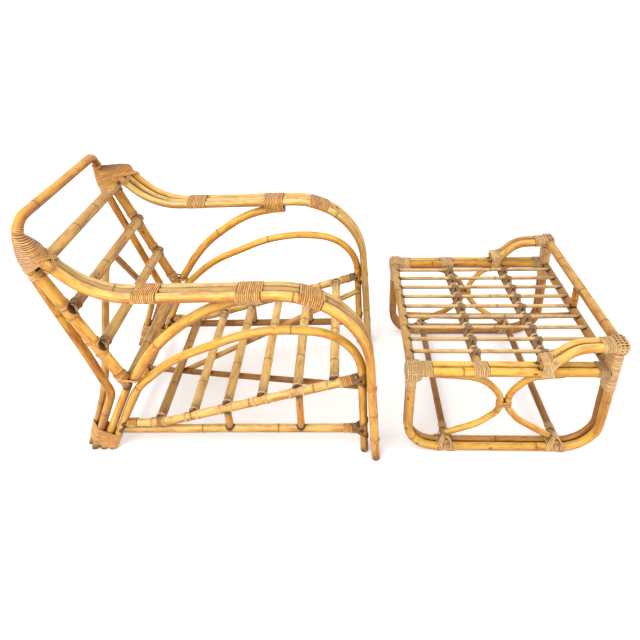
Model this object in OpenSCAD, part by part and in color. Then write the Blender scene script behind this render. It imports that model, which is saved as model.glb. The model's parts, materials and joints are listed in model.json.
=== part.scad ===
// Rattan lounge chair with its loose ottoman, bent poles bound with cane.
// X runs from the chair's back to the ottoman, Y across, Z up. The origin is on the
// floor, in the middle of the ground that the two pieces cover.

/* [Chair size] */
// Width over the outer arm poles
chair_w = 734; // [700:1:780]
// Distance between the axes of the two side frames
frame_w = 630; // [610:1:650]
// Height of the hoop over the back, to its top
chair_h = 908; // [905:1:940]
// Height of the arm poles' axis at the front bend
arm_h = 699; // [685:1:730]
// Distance of the front feet from the back joint
front_foot_x = 813; // [805:1:860]
// Height of the joint where post, arch and rear leg meet
joint_z = 320; // [312:1:330]
// Distance of the joint behind the zero line of the chair
joint_back = 20; // [16:1:24]
// Lean of the back posts
post_lean = 20; // [19:0.5:21]
// Length of a back post
post_len = 490; // [486:1:496]

/* [Arms] */
// Fall of the arm poles towards the back
arm_fall = 13; // [0:1:25]
// Distance of the arm's low corner behind the zero line
arm_low_back = 12; // [0:1:20]
// Steepness of the arm's rise to the back
rise_angle = 47.5; // [46:0.5:49]
// Forward rake of the front legs from top to floor
leg_rake = 52; // [40:1:60]
// Bend radius of the arm at the back
arm_back_r = 237; // [150:1:250]
// Bend radius of the arm over the front leg
arm_front_r = 275; // [200:1:300]

/* [Seat] */
// Height of the floor rails' axis
floor_rail_z = 104; // [98:1:112]
// Slope of the seat
seat_slope = 17.4; // [16:0.2:18]
// Distance from the zero line to the first slat
first_slat_x = 47; // [40:1:60]
// Distance from the first slat to the last
slat_reach = 620; // [560:1:625]
// Number of slats
slat_count = 6; // [4:1:7]

/* [Back] */
// Place of the lowest back pole along the posts
low_back_pole = 170; // [150:1:200]
// Distance from one back pole to the next
back_pole_step = 152; // [140:1:156]
// How far the back poles sit in front of the posts' axis
back_pole_lead = 19; // [16:1:22]
// Distance of the hoop's top behind the zero line
hoop_top_back = 205; // [195:1:215]
// Height of the knee in the hoop's legs
hoop_knee_z = 280; // [272:1:286]
// Distance of that knee behind the zero line
hoop_knee_back = 86; // [84:1:92]
// Bend radius of the hoop's corners
hoop_corner_r = 60; // [48:1:63]

/* [Poles] */
// Diameter of the back posts
post_d = 38; // [36:0.5:39]
// Diameter of the poles across the back and behind the seat
back_pole_d = 35; // [30:0.5:37]
// Diameter of the hoop
hoop_d = 29; // [26:0.5:30]
// Diameter of the outer arm pole
arm_outer_d = 30; // [27:0.5:31]
// Diameter of the middle and inner arm poles
arm_inner_d = 26; // [23:0.5:27]
// Diameter of the upper side arch
upper_arch_d = 32; // [28:0.5:33]
// Diameter of the lower side arch and the rear leg
leg_d = 28; // [25:0.5:28.5]
// Diameter of the seat rails and floor rails
rail_d = 31; // [28:0.5:32]
// Diameter of the seat slats
slat_d = 33; // [28:0.5:34]
// Diameter of the arch behind the back
rear_arch_d = 26; // [23:0.5:26.5]
// Diameter of the braces under the seat
brace_d = 23; // [20:0.5:25]
// Thickness of the cane bindings
cane_t = 1.8; // [1.4:0.1:2.2]
// Clearance between pieces that touch
gap = 0.3; // [0.2:0.05:0.4]

/* [Ottoman] */
// Width over the side poles
ottoman_w = 744; // [700:1:790]
// Length between the axes of the rear and front legs, on the floor
ottoman_len = 661; // [640:1:700]
// Height of the deck rails' axis
deck_z = 370; // [350:1:385]
// Height of the raised front rail's axis
raised_z = 474; // [466:1:490]
// Distance from the chair's zero line to the ottoman's rear legs
ottoman_x = 926; // [915:1:980]
// Sideways offset of the ottoman from the chair
ottoman_shift = 52; // [0:1:80]
// Diameter of the ottoman's poles
ottoman_d = 30; // [27:0.5:31]
// Diameter of the scrolls in the ottoman's sides
scroll_d = 23; // [20:0.5:25]
// Diameter of the deck rods
rod_d = 14; // [12:0.5:15]
// Number of deck rods
rod_count = 9; // [5:1:10]
// Bend radius of the side loops at the floor
loop_r = 110; // [95:1:120]

/* [Hidden] */

fine = 40;
curve_fn = 160;
honey = [0.86, 0.62, 0.27];
amber = [0.74, 0.47, 0.17];
tan = [0.72, 0.55, 0.36];
cane = [0.80, 0.58, 0.33];
far_away = 2000;
fuller = 0.2;
reach_in = 1;

// Side frames
frame_y = frame_w / 2;
arm_outer_y = (chair_w - arm_outer_d) / 2;
arm_middle_y = arm_outer_y - (arm_outer_d + arm_inner_d) / 2 - gap - 0.1;
arm_inner_y = arm_middle_y - arm_inner_d - gap - 0.1;
arm_low_z = arm_h - arm_fall;
arm_front_x = front_foot_x - leg_rake;
arm_top_x = -hoop_top_back + hoop_d / 2 + arm_inner_d / 2 * sin(rise_angle) + gap;
arm_outer_short = 45;
arm_middle_short = 32;
arm_inner_short = 30;
arm_bends = [arm_back_r, arm_front_r];
arm_angle = atan2(arm_fall, arm_front_x + arm_low_back);

// Towards the back corner the bundle of arm poles twists, so that each pole rises
// arm_twist lower and further back than the one outside it
arm_twist = 10;
function arm_low(twist) = let (d = twist / sin(arm_angle + rise_angle))
    [-arm_low_back - d * cos(arm_angle), arm_low_z - d * sin(arm_angle)];
function arm_path(short, twist) = let (
        low = arm_low(twist),
        x = arm_top_x + short - twist * sin(rise_angle)) [
    [x, low.y + (low.x - x) * tan(rise_angle)],
    low,
    [arm_front_x, arm_h],
    [front_foot_x, 0],
];

// Back joint, posts and the poles across them
joint = [-joint_back, joint_z];
post_dir = [-sin(post_lean), cos(post_lean)];
post_front = [cos(post_lean), sin(post_lean)];
back_pole_at = [for (i = [0:2])
    joint + post_dir * (low_back_pole + i * back_pole_step) + post_front * back_pole_lead];

// Rear legs stand side by side, raked back to the floor
leg_pitch = leg_d + gap + 1;
rear_rake = atan2(171, 320);
leg_step = leg_pitch / cos(rear_rake);
rear_foot_x = -joint_back - joint_z * tan(rear_rake);
lower_foot_x = rear_foot_x + leg_step;
hoop_foot_x = rear_foot_x - leg_step;

// Hoop over the back
hoop_in = 22;
hoop_y = frame_y - hoop_in;
hoop_top_z = chair_h - hoop_d / 2;
post_top = joint + post_dir * post_len;
hoop_behind = sqrt(pow((post_d + hoop_d) / 2 + gap, 2) - pow(hoop_in, 2)) + 0.6;
hoop_kink = post_top - post_front * hoop_behind + post_dir * 22;
hoop_kink_r = 110;
hoop_knee_r = 60;

// Side arches
leg_in = 40;
leg_top_in = 11;
leg_top_z = 523;
back_pole_half = frame_y - 15;
upper_arch_end_x = 472;
upper_arch_low_x = 350;
under_arm = (upper_arch_d + arm_inner_d) / 2 + gap;
lower_arch_path = [
    [lower_foot_x, 0],
    [lower_foot_x + 300 * tan(rear_rake), 300],
    [144, 426],
    [459, 562],
    [arm_front_x - leg_top_in, leg_top_z],
    [front_foot_x - leg_in, 0],
];
lower_arch_bends = [300, 500, 515, 170];

// Seat: its rails lie on the floor rails at the rear and then rise
rail_start_x = -70;
seat_bend_x = 60;
seat_bend_r = 500;
rail_bite = 4;
floor_tilt = 0.9;
rail_stack = (rail_d + gap + 0.1) / cos(floor_tilt);
slat_step = slat_reach / (slat_count - 1);
spacer_at = [297, 549];
spacer_d = 26;

// Wraps, as runs of one cane round the arm poles
arm_wrap_at = [131, 431, 610];

// Ottoman
ottoman_pitch = ottoman_d + gap + 0.1;
ottoman_outer_y = (ottoman_w - ottoman_d) / 2;
ottoman_inner_y = ottoman_outer_y - ottoman_pitch;
ottoman_pair_y = (ottoman_outer_y + ottoman_inner_y) / 2;
ottoman_clear_y = ottoman_inner_y - ottoman_d / 2 - gap;
floor_z = ottoman_d / 2;
loop_lean = 46;
rear_lean = 8;
cross_rail_d = 32;
leg_end_z = raised_z - ottoman_d / 2 - gap - 1.6;
loop_path = [
    [-rear_lean, deck_z - ottoman_d / 2 - gap - 0.4],
    [0, floor_z],
    [ottoman_len, floor_z],
    [ottoman_len - loop_lean, leg_end_z],
];
front_lean = atan2(loop_lean, leg_end_z - floor_z);
rear_rail_at = [-rear_lean, deck_z - 1];
raised_rail_at = [ottoman_len - loop_lean, raised_z];
front_rail_at = [front_leg_x(deck_z), deck_z - 4];
side_rail_from = -rear_lean - ottoman_d / 2;
stretcher_d = 26;
runner_top_z = ottoman_d + gap + stretcher_d / 2;
stretcher_x = [135, ottoman_len - 140];
deck_pole_d = 28;
deck_pole_x = [212, ottoman_len - 227];
rod_z = deck_z + 10;
deck_pole_z = rod_z - (rod_d + deck_pole_d) / 2 - gap;
rod_reach = 264;
rod_step = 2 * rod_reach / (rod_count - 1);
deck_brace_d = 22;
middle_post_d = 26;
under_pole_z = deck_pole_z - (deck_pole_d + deck_brace_d) / 2 - gap;
raised_arm_x = ottoman_len - 269;
scroll_tie = [312, 215];
scroll_half = (scroll_d + gap) / 2;
scroll_top = deck_z - sqrt(pow((ottoman_d + scroll_d) / 2 + gap, 2) - pow(ottoman_pitch / 2, 2));

function front_leg_x(z) = ottoman_len - (z - floor_z) * tan(front_lean);

// Place of each piece about the origin
rear_arch_foot = [hoop_foot_x - 22, frame_y - 23];
rear_most = rear_arch_foot.x - rear_arch_d / 2 / cos(rear_rake);
front_most = ottoman_x + ottoman_len + ottoman_d / 2
    - loop_r * (tan(45 + front_lean / 2) - 1);
chair_at = [-(rear_most + front_most) / 2, -(ottoman_shift + (ottoman_w - chair_w) / 2) / 2, 0];
ottoman_at = chair_at + [ottoman_x, ottoman_shift, 0];

function unit(v) = v / norm(v);
function floor_rail_at(x) = floor_rail_z + x * tan(floor_tilt);
seat_bend_z = floor_rail_at(seat_bend_x) + rail_stack;
seat_bend_cut = seat_bend_r * tan((seat_slope - floor_tilt) / 2);
seat_bend_from = seat_bend_x - seat_bend_cut * cos(floor_tilt);
seat_bend_to = seat_bend_x + seat_bend_cut * cos(seat_slope);
seat_bend_centre = [seat_bend_from - seat_bend_r * sin(floor_tilt),
    floor_rail_at(seat_bend_from) + rail_stack + seat_bend_r * cos(floor_tilt)];
function seat_z(x) = x < seat_bend_from ? floor_rail_at(x) + rail_stack
    : x > seat_bend_to ? seat_bend_z + (x - seat_bend_x) * tan(seat_slope)
    : seat_bend_centre.y - sqrt(pow(seat_bend_r, 2) - pow(x - seat_bend_centre.x, 2));
function arm_z(x) = arm_h + (x - arm_front_x) * tan(arm_angle);
function rear_leg_x(z) = lower_foot_x + z * tan(rear_rake);
function front_inner_x(z) =
    front_foot_x - leg_in - z * (front_foot_x - leg_in - arm_front_x + leg_top_in) / leg_top_z;
function in_plane(path, y) = [for (p = path) [p.x, y, p.y]];

// Length of straight lost to the bend of radius r at the middle of three points
function bend_cut(a, b, c, r) =
    r * tan(acos(min(1, max(-1, unit(b - a) * unit(c - b)))) / 2);

// The braces under the seat rise from a stretcher between the rear legs, low enough to
// pass below the first slat
brace_end_z = 290;
brace_end_x = front_inner_x(brace_end_z) + 6;
brace_under_z = seat_z(first_slat_x) - (slat_d + brace_d) / 2 - 1.5;
brace_rise = (brace_end_z - brace_under_z) / (brace_end_x - first_slat_x);
stretcher_z = (brace_under_z - brace_rise * (first_slat_x - lower_foot_x))
    / (1 - brace_rise * tan(rear_rake));
stretcher_at = [rear_leg_x(stretcher_z), stretcher_z];

// Straight length of pole from a to b, its facets turned to the side vector
module straight(a, b, d, side) {
    along = unit(b - a);
    across = unit(cross(side, along));
    up = cross(along, across);
    multmatrix([
        [across.x, up.x, along.x, a.x],
        [across.y, up.y, along.y, a.y],
        [across.z, up.z, along.z, a.z],
        [0, 0, 0, 1],
    ]) cylinder(h = norm(b - a), d = d, $fn = fine);
}

// Bent length of pole that rounds the corner at b
module bend(a, b, c, r, d) {
    cut = bend_cut(a, b, c, r);
    from = b - unit(b - a) * cut;
    to = b + unit(c - b) * cut;
    axis = unit(cross(b - a, c - b));
    inward = cross(axis, unit(b - a));
    centre = from + inward * r;
    out = -inward;
    on = cross(axis, out);
    turn = acos(min(1, max(-1, unit(b - a) * unit(c - b))));
    multmatrix([
        [out.x, on.x, axis.x, centre.x],
        [out.y, on.y, axis.y, centre.y],
        [out.z, on.z, axis.z, centre.z],
        [0, 0, 0, 1],
    ]) rotate_extrude(angle = turn, $fn = curve_fn) translate([r, 0]) circle(d = d, $fn = fine);
}

// Pole along a path of points, rounded at each inner point by its own radius. A bend is
// a little fuller than the straights, whose ends reach just into it.
module bent_pole(path, bends, d) {
    last = len(path) - 1;
    side = side_of(path);
    for (i = [0:last - 1]) {
        before = i > 0 ? bend_cut(path[i - 1], path[i], path[i + 1], bends[i - 1]) - reach_in : 0;
        after = i < last - 1 ? bend_cut(path[i], path[i + 1], path[i + 2], bends[i]) - reach_in : 0;
        along = unit(path[i + 1] - path[i]);
        straight(path[i] + along * before, path[i + 1] - along * after, d, side);
    }
    for (i = [1:1:last - 1])
        bend(path[i - 1], path[i], path[i + 1], bends[i - 1], d + fuller);
}

module above_floor(lift = 0) {
    difference() {
        children();
        translate([-far_away / 2, -far_away / 2, lift - far_away])
            cube([2 * far_away, far_away, far_away]);
    }
}

// Path with its first or last point run on below the floor, for a foot cut level
function run_on(path, first = false, last = false) = [
    for (i = [0:len(path) - 1])
        first && i == 0 ? path[0] + unit(path[0] - path[1]) * 30
        : last && i == len(path) - 1 ? path[i] + unit(path[i] - path[i - 1]) * 30
        : path[i]
];

function side_of(path) = len(path) > 2
    ? cross(path[1] - path[0], path[2] - path[1])
    : cross(path[1] - path[0], abs(path[1].y - path[0].y) > norm(path[1] - path[0]) / 2
        ? [0, 0, 1] : [0, 1, 0]);

// Clearing shape round a straight pole
module clear(a, b, d) {
    straight(a, b, d + 2 * gap, side_of([a, b]));
}

module chair() {
    translate(chair_at) children();
}

module ottoman() {
    translate(ottoman_at) children();
}

// Flat outline round poles that stand side by side: each entry is [u, v, diameter]
module outline(discs, t) {
    for (d = discs)
        translate([d[0], d[1]]) circle(d = d[2] + 2 * t, $fn = fine);
    for (i = [0:1:len(discs) - 2]) {
        a = discs[i];
        b = discs[i + 1];
        v = [b[0] - a[0], b[1] - a[1]];
        small = min(a[2], b[2]);
        translate([a[0], a[1]]) rotate(atan2(v.y, v.x))
            translate([0, -small / 2 - t]) square([norm(v), small + 2 * t]);
    }
}

module ring_section(discs) {
    difference() {
        outline(discs, cane_t + gap);
        for (d = discs)
            translate([d[0], d[1]]) circle(d = d[2] + 2 * gap, $fn = fine);
        for (i = [0:1:len(discs) - 2]) {
            a = discs[i];
            b = discs[i + 1];
            v = [b[0] - a[0], b[1] - a[1]];
            small = min(a[2], b[2]);
            translate([a[0], a[1]]) rotate(atan2(v.y, v.x))
                translate([0, -small / 2 - gap]) square([norm(v), small + 2 * gap]);
        }
    }
}

// Band of cane from a to b round poles that run along it, u along the given vector
module band(a, b, u, discs) {
    along = unit(b - a);
    across = unit(u - along * (u * along));
    up = cross(along, across);
    multmatrix([
        [across.x, up.x, along.x, a.x],
        [across.y, up.y, along.y, a.y],
        [across.z, up.z, along.z, a.z],
        [0, 0, 0, 1],
    ]) linear_extrude(norm(b - a)) ring_section(discs);
}

// Chair back

function hoop_side(s) = [
    [hoop_foot_x, s * frame_y, 0],
    [-hoop_knee_back, s * frame_y, hoop_knee_z],
    [hoop_kink.x, s * hoop_y, hoop_kink.y],
    [-hoop_top_back, s * (hoop_y - 9), hoop_top_z],
];
hoop_bends = [hoop_knee_r, hoop_kink_r, hoop_corner_r, hoop_corner_r, hoop_kink_r, hoop_knee_r];

module hoop_pole(d) {
    right = hoop_side(-1);
    left = hoop_side(1);
    path = concat(right, [left[3], left[2], left[1], left[0]]);
    above_floor() bent_pole(run_on(run_on(path, first = true), last = true), hoop_bends, d);
}

module back_hoop() {
    color(honey) chair() hoop_pole(hoop_d);
}

function post_at(s, t) = let (p = joint + post_dir * t) [p.x, s * frame_y, p.y];

module back_post(s) {
    color(amber) chair()
        straight(post_at(s, 0), post_at(s, post_len), post_d, [0, 1, 0]);
}

module back_post_right() { back_post(-1); }

module back_post_left() { back_post(1); }

// Pole across the back, its ends coped to the round of the posts
module back_pole(i) {
    p = back_pole_at[i];
    t = low_back_pole + i * back_pole_step;
    color(tan) chair() difference() {
        straight([p.x, -back_pole_half, p.y], [p.x, back_pole_half, p.y], back_pole_d, [0, 0, 1]);
        for (s = [-1, 1])
            clear(post_at(s, t - post_d * 2), post_at(s, t + post_d * 2), post_d);
    }
}

module back_pole_low() { back_pole(0); }

module back_pole_middle() { back_pole(1); }

module back_pole_top() { back_pole(2); }

// Pole behind the seat, between the two back joints
rear_leg_top = joint + [sin(rear_rake), cos(rear_rake)] * 8;
seat_rear_x = -joint_back + 8;
seat_rear_z_pole = joint_z + 18;
module seat_rear_pole() {
    ends = frame_y - upper_arch_d / 2 - gap;
    color(amber) chair() difference() {
        straight([seat_rear_x, -ends - 9, seat_rear_z_pole], [seat_rear_x, ends + 9, seat_rear_z_pole],
            back_pole_d, [0, 0, 1]);
        for (s = [-1, 1]) {
            clear(post_at(s, 0), post_at(s, 120), post_d);
            clear([rear_leg_top.x, s * frame_y, rear_leg_top.y], [rear_foot_x, s * frame_y, 0], leg_d);
            upper_arch_pole(s, upper_arch_d + 2 * gap);
            lower_arch_pole(s, leg_d + 2 * gap);
        }
    }
}

// Arch that stiffens the back from behind, its crown against the middle back pole
crown_z = back_pole_at[1].y - (back_pole_d + rear_arch_d) / 2 * cos(40) - gap;
crown_x = back_pole_at[1].x - (back_pole_d + rear_arch_d) / 2 * sin(40) - gap;
rear_arch_knee = [-hoop_knee_back - 36, frame_y - 30, hoop_knee_z - 2];
arch_crown_right = 15;
arch_crown_left = 60;
arch_knee_r = 200;
arch_crown_r = 70;
function arch_side(s, crown_y) = [
    [rear_arch_foot.x, s * rear_arch_foot.y, 0],
    [rear_arch_knee.x, s * rear_arch_knee.y, rear_arch_knee.z],
    [crown_x, s * crown_y, crown_z],
];
module rear_arch_pole(d) {
    left = arch_side(1, arch_crown_left);
    path = concat(arch_side(-1, arch_crown_right), [for (i = [2:-1:0]) left[i]]);
    above_floor() bent_pole(run_on(run_on(path, first = true), last = true),
        [arch_knee_r, arch_crown_r, arch_crown_r, arch_knee_r], d);
}

module rear_arch() { color(amber) chair() rear_arch_pole(rear_arch_d); }

// Chair sides

module arm_pole(y, d, short = 0, twist = 0) {
    path = in_plane(arm_path(short, twist), y);
    above_floor() bent_pole(run_on(path, last = true), arm_bends, d);
}

module hoop_cut() {
    difference() {
        children();
        hoop_pole(hoop_d + 2 * gap);
    }
}

module arm_middle(s) { hoop_cut() arm_pole(s * arm_middle_y, arm_inner_d, arm_middle_short, arm_twist); }

module arm_inner(s) { hoop_cut() arm_pole(s * arm_inner_y, arm_inner_d, arm_inner_short, 2 * arm_twist); }

module arm_outer_right() { color(honey) chair() arm_pole(-arm_outer_y, arm_outer_d, arm_outer_short); }

module arm_outer_left() { color(honey) chair() arm_pole(arm_outer_y, arm_outer_d, arm_outer_short); }

module arm_middle_right() { color(tan) chair() arm_middle(-1); }

module arm_middle_left() { color(tan) chair() arm_middle(1); }

module arm_inner_right() { color(tan) chair() arm_inner(-1); }

module arm_inner_left() { color(tan) chair() arm_inner(1); }

// The upper arch springs from the back joint and ends flat under the arm poles
arch_end = [upper_arch_end_x, arm_z(upper_arch_end_x) - under_arm];
arch_low = [upper_arch_low_x, arm_z(upper_arch_low_x) - under_arm];
upper_arch_path = [
    joint + post_front * 30 + post_dir * 12,
    [125, 514],
    arch_low,
    arch_end,
];
upper_arch_bends = [610, 400];

module upper_arch_pole(s, d) {
    bent_pole(in_plane(upper_arch_path, s * frame_y), upper_arch_bends, d);
}

module lower_arch_pole(s, d) {
    path = in_plane(lower_arch_path, s * frame_y);
    above_floor() bent_pole(run_on(run_on(path, first = true), last = true), lower_arch_bends, d);
}

module upper_arch(s) {
    color(honey) chair() difference() {
        upper_arch_pole(s, upper_arch_d);
        clear(post_at(s, -60), post_at(s, post_len), post_d);
    }
}

module upper_arch_right() { upper_arch(-1); }

module upper_arch_left() { upper_arch(1); }

module lower_arch_right() { color(honey) chair() lower_arch_pole(-1, leg_d); }

module lower_arch_left() { color(honey) chair() lower_arch_pole(1, leg_d); }

module rear_leg(s) {
    path = run_on([[rear_leg_top.x, s * frame_y, rear_leg_top.y], [rear_foot_x, s * frame_y, 0]],
        last = true);
    color(amber) chair() difference() {
        above_floor() straight(path[0], path[1], leg_d, [0, 1, 0]);
        clear(post_at(s, -gap), post_at(s, 120), post_d);
        lower_arch_pole(s, leg_d + 2 * gap);
    }
}

module rear_leg_right() { rear_leg(-1); }

module rear_leg_left() { rear_leg(1); }

// Seat

module seat_rail_pole(s, d) {
    rear = rail_start_x - rail_bite;
    front = front_inner_x(seat_z(arm_front_x)) - leg_d / 2 + rail_bite;
    bent_pole(in_plane([[rear, seat_z(rear)], [seat_bend_x, seat_bend_z], [front, seat_z(front)]],
        s * frame_y), [seat_bend_r], d);
}

module floor_rail_pole(s, d) {
    rear = rear_leg_x(floor_rail_z) + leg_d / 2 / cos(rear_rake) - rail_bite;
    front = front_inner_x(floor_rail_z) - leg_d / 2 + rail_bite;
    straight([rear, s * frame_y, floor_rail_at(rear)], [front, s * frame_y, floor_rail_at(front)],
        d, [0, 1, 0]);
}

module seat_rail(s) {
    color(honey) chair() difference() {
        seat_rail_pole(s, rail_d);
        lower_arch_pole(s, leg_d + 2 * gap);
    }
}

module seat_rail_right() { seat_rail(-1); }

module seat_rail_left() { seat_rail(1); }

module floor_rail(s) {
    color(amber) chair() difference() {
        floor_rail_pole(s, rail_d);
        lower_arch_pole(s, leg_d + 2 * gap);
    }
}

module floor_rail_right() { floor_rail(-1); }

module floor_rail_left() { floor_rail(1); }

// Short posts that hold the seat rails off the floor rails
module spacer_posts() {
    color(amber) chair() for (s = [-1, 1], x = spacer_at) {
        y = s * frame_y;
        difference() {
            straight([x, y, floor_rail_at(x) + 8], [x, y, seat_z(x) - 8], spacer_d, [0, 1, 0]);
            floor_rail_pole(s, rail_d + 2 * gap);
            seat_rail_pole(s, rail_d + 2 * gap);
        }
    }
}

module seat_slats() {
    half = frame_y - rail_d / 2 - gap;
    color(tan) chair() for (i = [0:slat_count - 1]) {
        x = first_slat_x + i * slat_step;
        straight([x, -half, seat_z(x)], [x, half, seat_z(x)], slat_d, [0, 0, 1]);
    }
}

module rear_stretcher() {
    half = frame_y - leg_d / 2 - gap;
    p = stretcher_at;
    color(amber) chair() straight([p.x, -half, p.y], [p.x, half, p.y], brace_d, [0, 0, 1]);
}

// Two braces under the seat: a long one and one that branches from it
brace_y = frame_y - (leg_d + brace_d) / 2 - gap - 0.5;
long_from = [stretcher_at.x, 50, stretcher_at.y];
long_to = [brace_end_x, -brace_y, brace_end_z];
branch_from = long_from + (long_to - long_from) * 0.2;
branch_to = [brace_end_x, brace_y, brace_end_z + 10];

module long_brace() {
    p = stretcher_at;
    color(amber) chair() difference() {
        straight(long_from, long_to, brace_d, [0, 1, 0]);
        clear([p.x, -100, p.y], [p.x, 100, p.y], brace_d);
    }
}

module branch_brace() {
    color(amber) chair() difference() {
        straight(branch_from, branch_to, brace_d - 1, [0, 1, 0]);
        clear(long_from, long_to, brace_d);
    }
}

// Cane bindings of the chair

// Block of turns that ties hoop, post and arm poles at a back corner
fan_from = arm_low_z + 102;
fan_at = [-arm_low_back - (fan_from - arm_low_z) / tan(rise_angle), fan_from];
fan_half = arm_outer_d / 2 + cane_t + gap;
module corner_binding(s) {
    up = [-cos(rise_angle), sin(rise_angle)];
    back = [-sin(rise_angle), -cos(rise_angle)];
    y_in = arm_inner_y - arm_inner_d / 2 - cane_t;
    y_out = arm_outer_y + fan_half;
    y_post = frame_y + post_d / 2 + cane_t + gap;
    y_rear = hoop_y - hoop_d / 2 - cane_t - 3;
    end_room = 1;
    y_in_front = 2 * arm_twist - fan_half + (arm_outer_d - arm_inner_d) / 2;
    fan = [[28, -fan_half], [84, -fan_half], [108, 4], [130, 28], [112, 52], [84, 72], [60, 72],
        [30, 40]];
    sides = [[y_in, y_in_front], [arm_outer_y - 8, -fan_half], [y_out, -fan_half], [y_out, fan_half],
        [y_post, 58], [y_post, 120], [y_rear, 120], [y_rear, 30]];
    taper = [[y_rear, -10], [y_out, -10], [y_out, 70], [y_out - 30, 95], [hoop_y + 16, 140], [y_rear, 140]];
    difference() {
        intersection() {
            translate([fan_at.x, s * (y_out + 10), fan_at.y])
                multmatrix([
                    [up.x, back.x, 0, 0],
                    [0, 0, -s, 0],
                    [up.y, back.y, 0, 0],
                    [0, 0, 0, 1],
                ]) linear_extrude(120) polygon(fan);
            translate([fan_at.x, 0, fan_at.y])
                multmatrix([
                    [0, back.x, up.x, 0],
                    [s, 0, 0, 0],
                    [0, back.y, up.y, 0],
                    [0, 0, 0, 1],
                ]) translate([0, 0, -10]) linear_extrude(160) polygon(sides);
            translate([fan_at.x, 0, fan_at.y])
                multmatrix([
                    [0, up.x, -back.x, 0],
                    [s, 0, 0, 0],
                    [0, up.y, -back.y, 0],
                    [0, 0, 0, 1],
                ]) translate([0, 0, -130]) linear_extrude(160) polygon(taper);
        }
        hoop_pole(hoop_d + 2 * gap);
        clear(post_at(s, post_len - 120), post_at(s, post_len + 0.1), post_d);
        arm_pole(s * arm_outer_y, arm_outer_d + 2 * gap, arm_outer_short - end_room);
        arm_pole(s * arm_middle_y, arm_inner_d + 2 * gap, arm_middle_short - end_room, arm_twist);
        arm_pole(s * arm_inner_y, arm_inner_d + 2 * gap, arm_inner_short - end_room, 2 * arm_twist);
        back_pole_room(2, s);
    }
}

module back_pole_room(i, s) {
    p = back_pole_at[i];
    clear([p.x, s * (back_pole_half - 80), p.y], [p.x, s * back_pole_half, p.y], back_pole_d);
}

module corner_bindings() {
    color(cane) chair() for (s = [-1, 1]) corner_binding(s);
}

// Rear legs and the hoop's foot tied together above the floor
module foot_bindings() {
    along = [sin(rear_rake), 0, cos(rear_rake)];
    across = [cos(rear_rake), 0, -sin(rear_rake)];
    low = 28;
    high = 96;
    hoop_room = 3;
    hoop_off = [hoop_foot_x - rear_foot_x - 2.2, 0, 0] * across;
    p = stretcher_at;
    color(cane) chair() for (s = [-1, 1]) difference() {
        foot = [rear_foot_x, s * frame_y, 0];
        band(foot + along * low, foot + along * high, across,
            [[leg_pitch, 0, leg_d], [0, 0, leg_d], [hoop_off, 0, hoop_d + hoop_room]]);
        clear([p.x, s * frame_y, p.y], [p.x, 0, p.y], brace_d);
        rear_arch_pole(rear_arch_d + 2 * gap);
    }
}

// Ring of cane round one pole between a and b
module ring(a, b, d) {
    side = side_of([a, b]);
    difference() {
        straight(a, b, d + 2 * gap + 2 * cane_t, side);
        straight(a - (b - a), b + (b - a), d + 2 * gap, side);
    }
}

module joint_bindings() {
    color(cane) chair() for (s = [-1, 1]) {
        difference() {
            ring(post_at(s, 22), post_at(s, 58), post_d);
            upper_arch_pole(s, upper_arch_d + 2 * gap);
            lower_arch_pole(s, leg_d + 2 * gap);
            straight([seat_rear_x, 0, seat_rear_z_pole], [seat_rear_x, s * frame_y, seat_rear_z_pole],
                back_pole_d + 2 * gap, [0, 0, 1]);
        }
    }
}

// Rail ends tied to each other and the seat rail to its slats
module rail_bindings() {
    color(cane) chair() for (s = [-1, 1]) {
        y = s * frame_y;
        x_end = front_inner_x(300) - leg_d;
        difference() {
            union() {
                ring([x_end - 40, y, seat_z(x_end - 40)], [x_end - 4, y, seat_z(x_end - 4)], rail_d);
                ring([x_end - 34, y, floor_rail_at(x_end - 34)], [x_end - 2, y, floor_rail_at(x_end - 2)],
                    rail_d);
            }
            slat_room(s);
        }
    }
}

module slat_room(s) {
    for (i = [0:slat_count - 1]) {
        x = first_slat_x + i * slat_step;
        clear([x, 0, seat_z(x)], [x, s * frame_y, seat_z(x)], slat_d);
    }
}

// Straps that hold the slats to the seat rails
module slat_straps() {
    color(cane) chair() for (s = [-1, 1]) difference() {
        for (i = [0:slat_count - 1], k = [-1, 1]) {
            x = first_slat_x + i * slat_step + k * (slat_d / 2 + 5);
            ring([x - 3, s * frame_y, seat_z(x - 3)], [x + 3, s * frame_y, seat_z(x + 3)],
                rail_d + fuller);
        }
        floor_rail_pole(s, rail_d + 2 * gap);
        slat_room(s);
        for (x = spacer_at)
            clear([x, s * frame_y, floor_rail_z], [x, s * frame_y, seat_z(x)], spacer_d);
    }
}

// Straps that hold the back poles to the posts
module back_pole_straps() {
    color(cane) chair() for (s = [-1, 1], i = [0, 1], k = [-1, 1]) {
        t = low_back_pole + i * back_pole_step + k * (back_pole_d / 2 + 6);
        difference() {
            ring(post_at(s, t - 4), post_at(s, t + 4), post_d);
            hoop_pole(hoop_d + 2 * gap);
        }
    }
}

// Rings on the outer front legs, level with the rail ends
leg_straps_at = [floor_rail_z - 3, seat_z(arm_front_x) - 16];
module front_leg_straps() {
    color(cane) chair() for (s = [-1, 1], z = leg_straps_at) {
        x = front_foot_x - leg_rake * z / arm_h;
        step = leg_rake * 8 / arm_h;
        difference() {
            ring([x + step, s * arm_outer_y, z - 8], [x - step, s * arm_outer_y, z + 8], arm_outer_d);
            clear([front_foot_x, s * arm_middle_y, 0], [arm_front_x, s * arm_middle_y, arm_h], arm_inner_d);
        }
    }
}

// Cane wound in one run round the three arm poles
turn_rings = 12;
turn_pitch = 6;
cane_w = 5.2;
arm_bend_cut = bend_cut([-arm_low_back, arm_low_z], [arm_front_x, arm_h], [front_foot_x, 0], arm_front_r);
bend_end_x = arm_front_x - arm_bend_cut;

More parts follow.
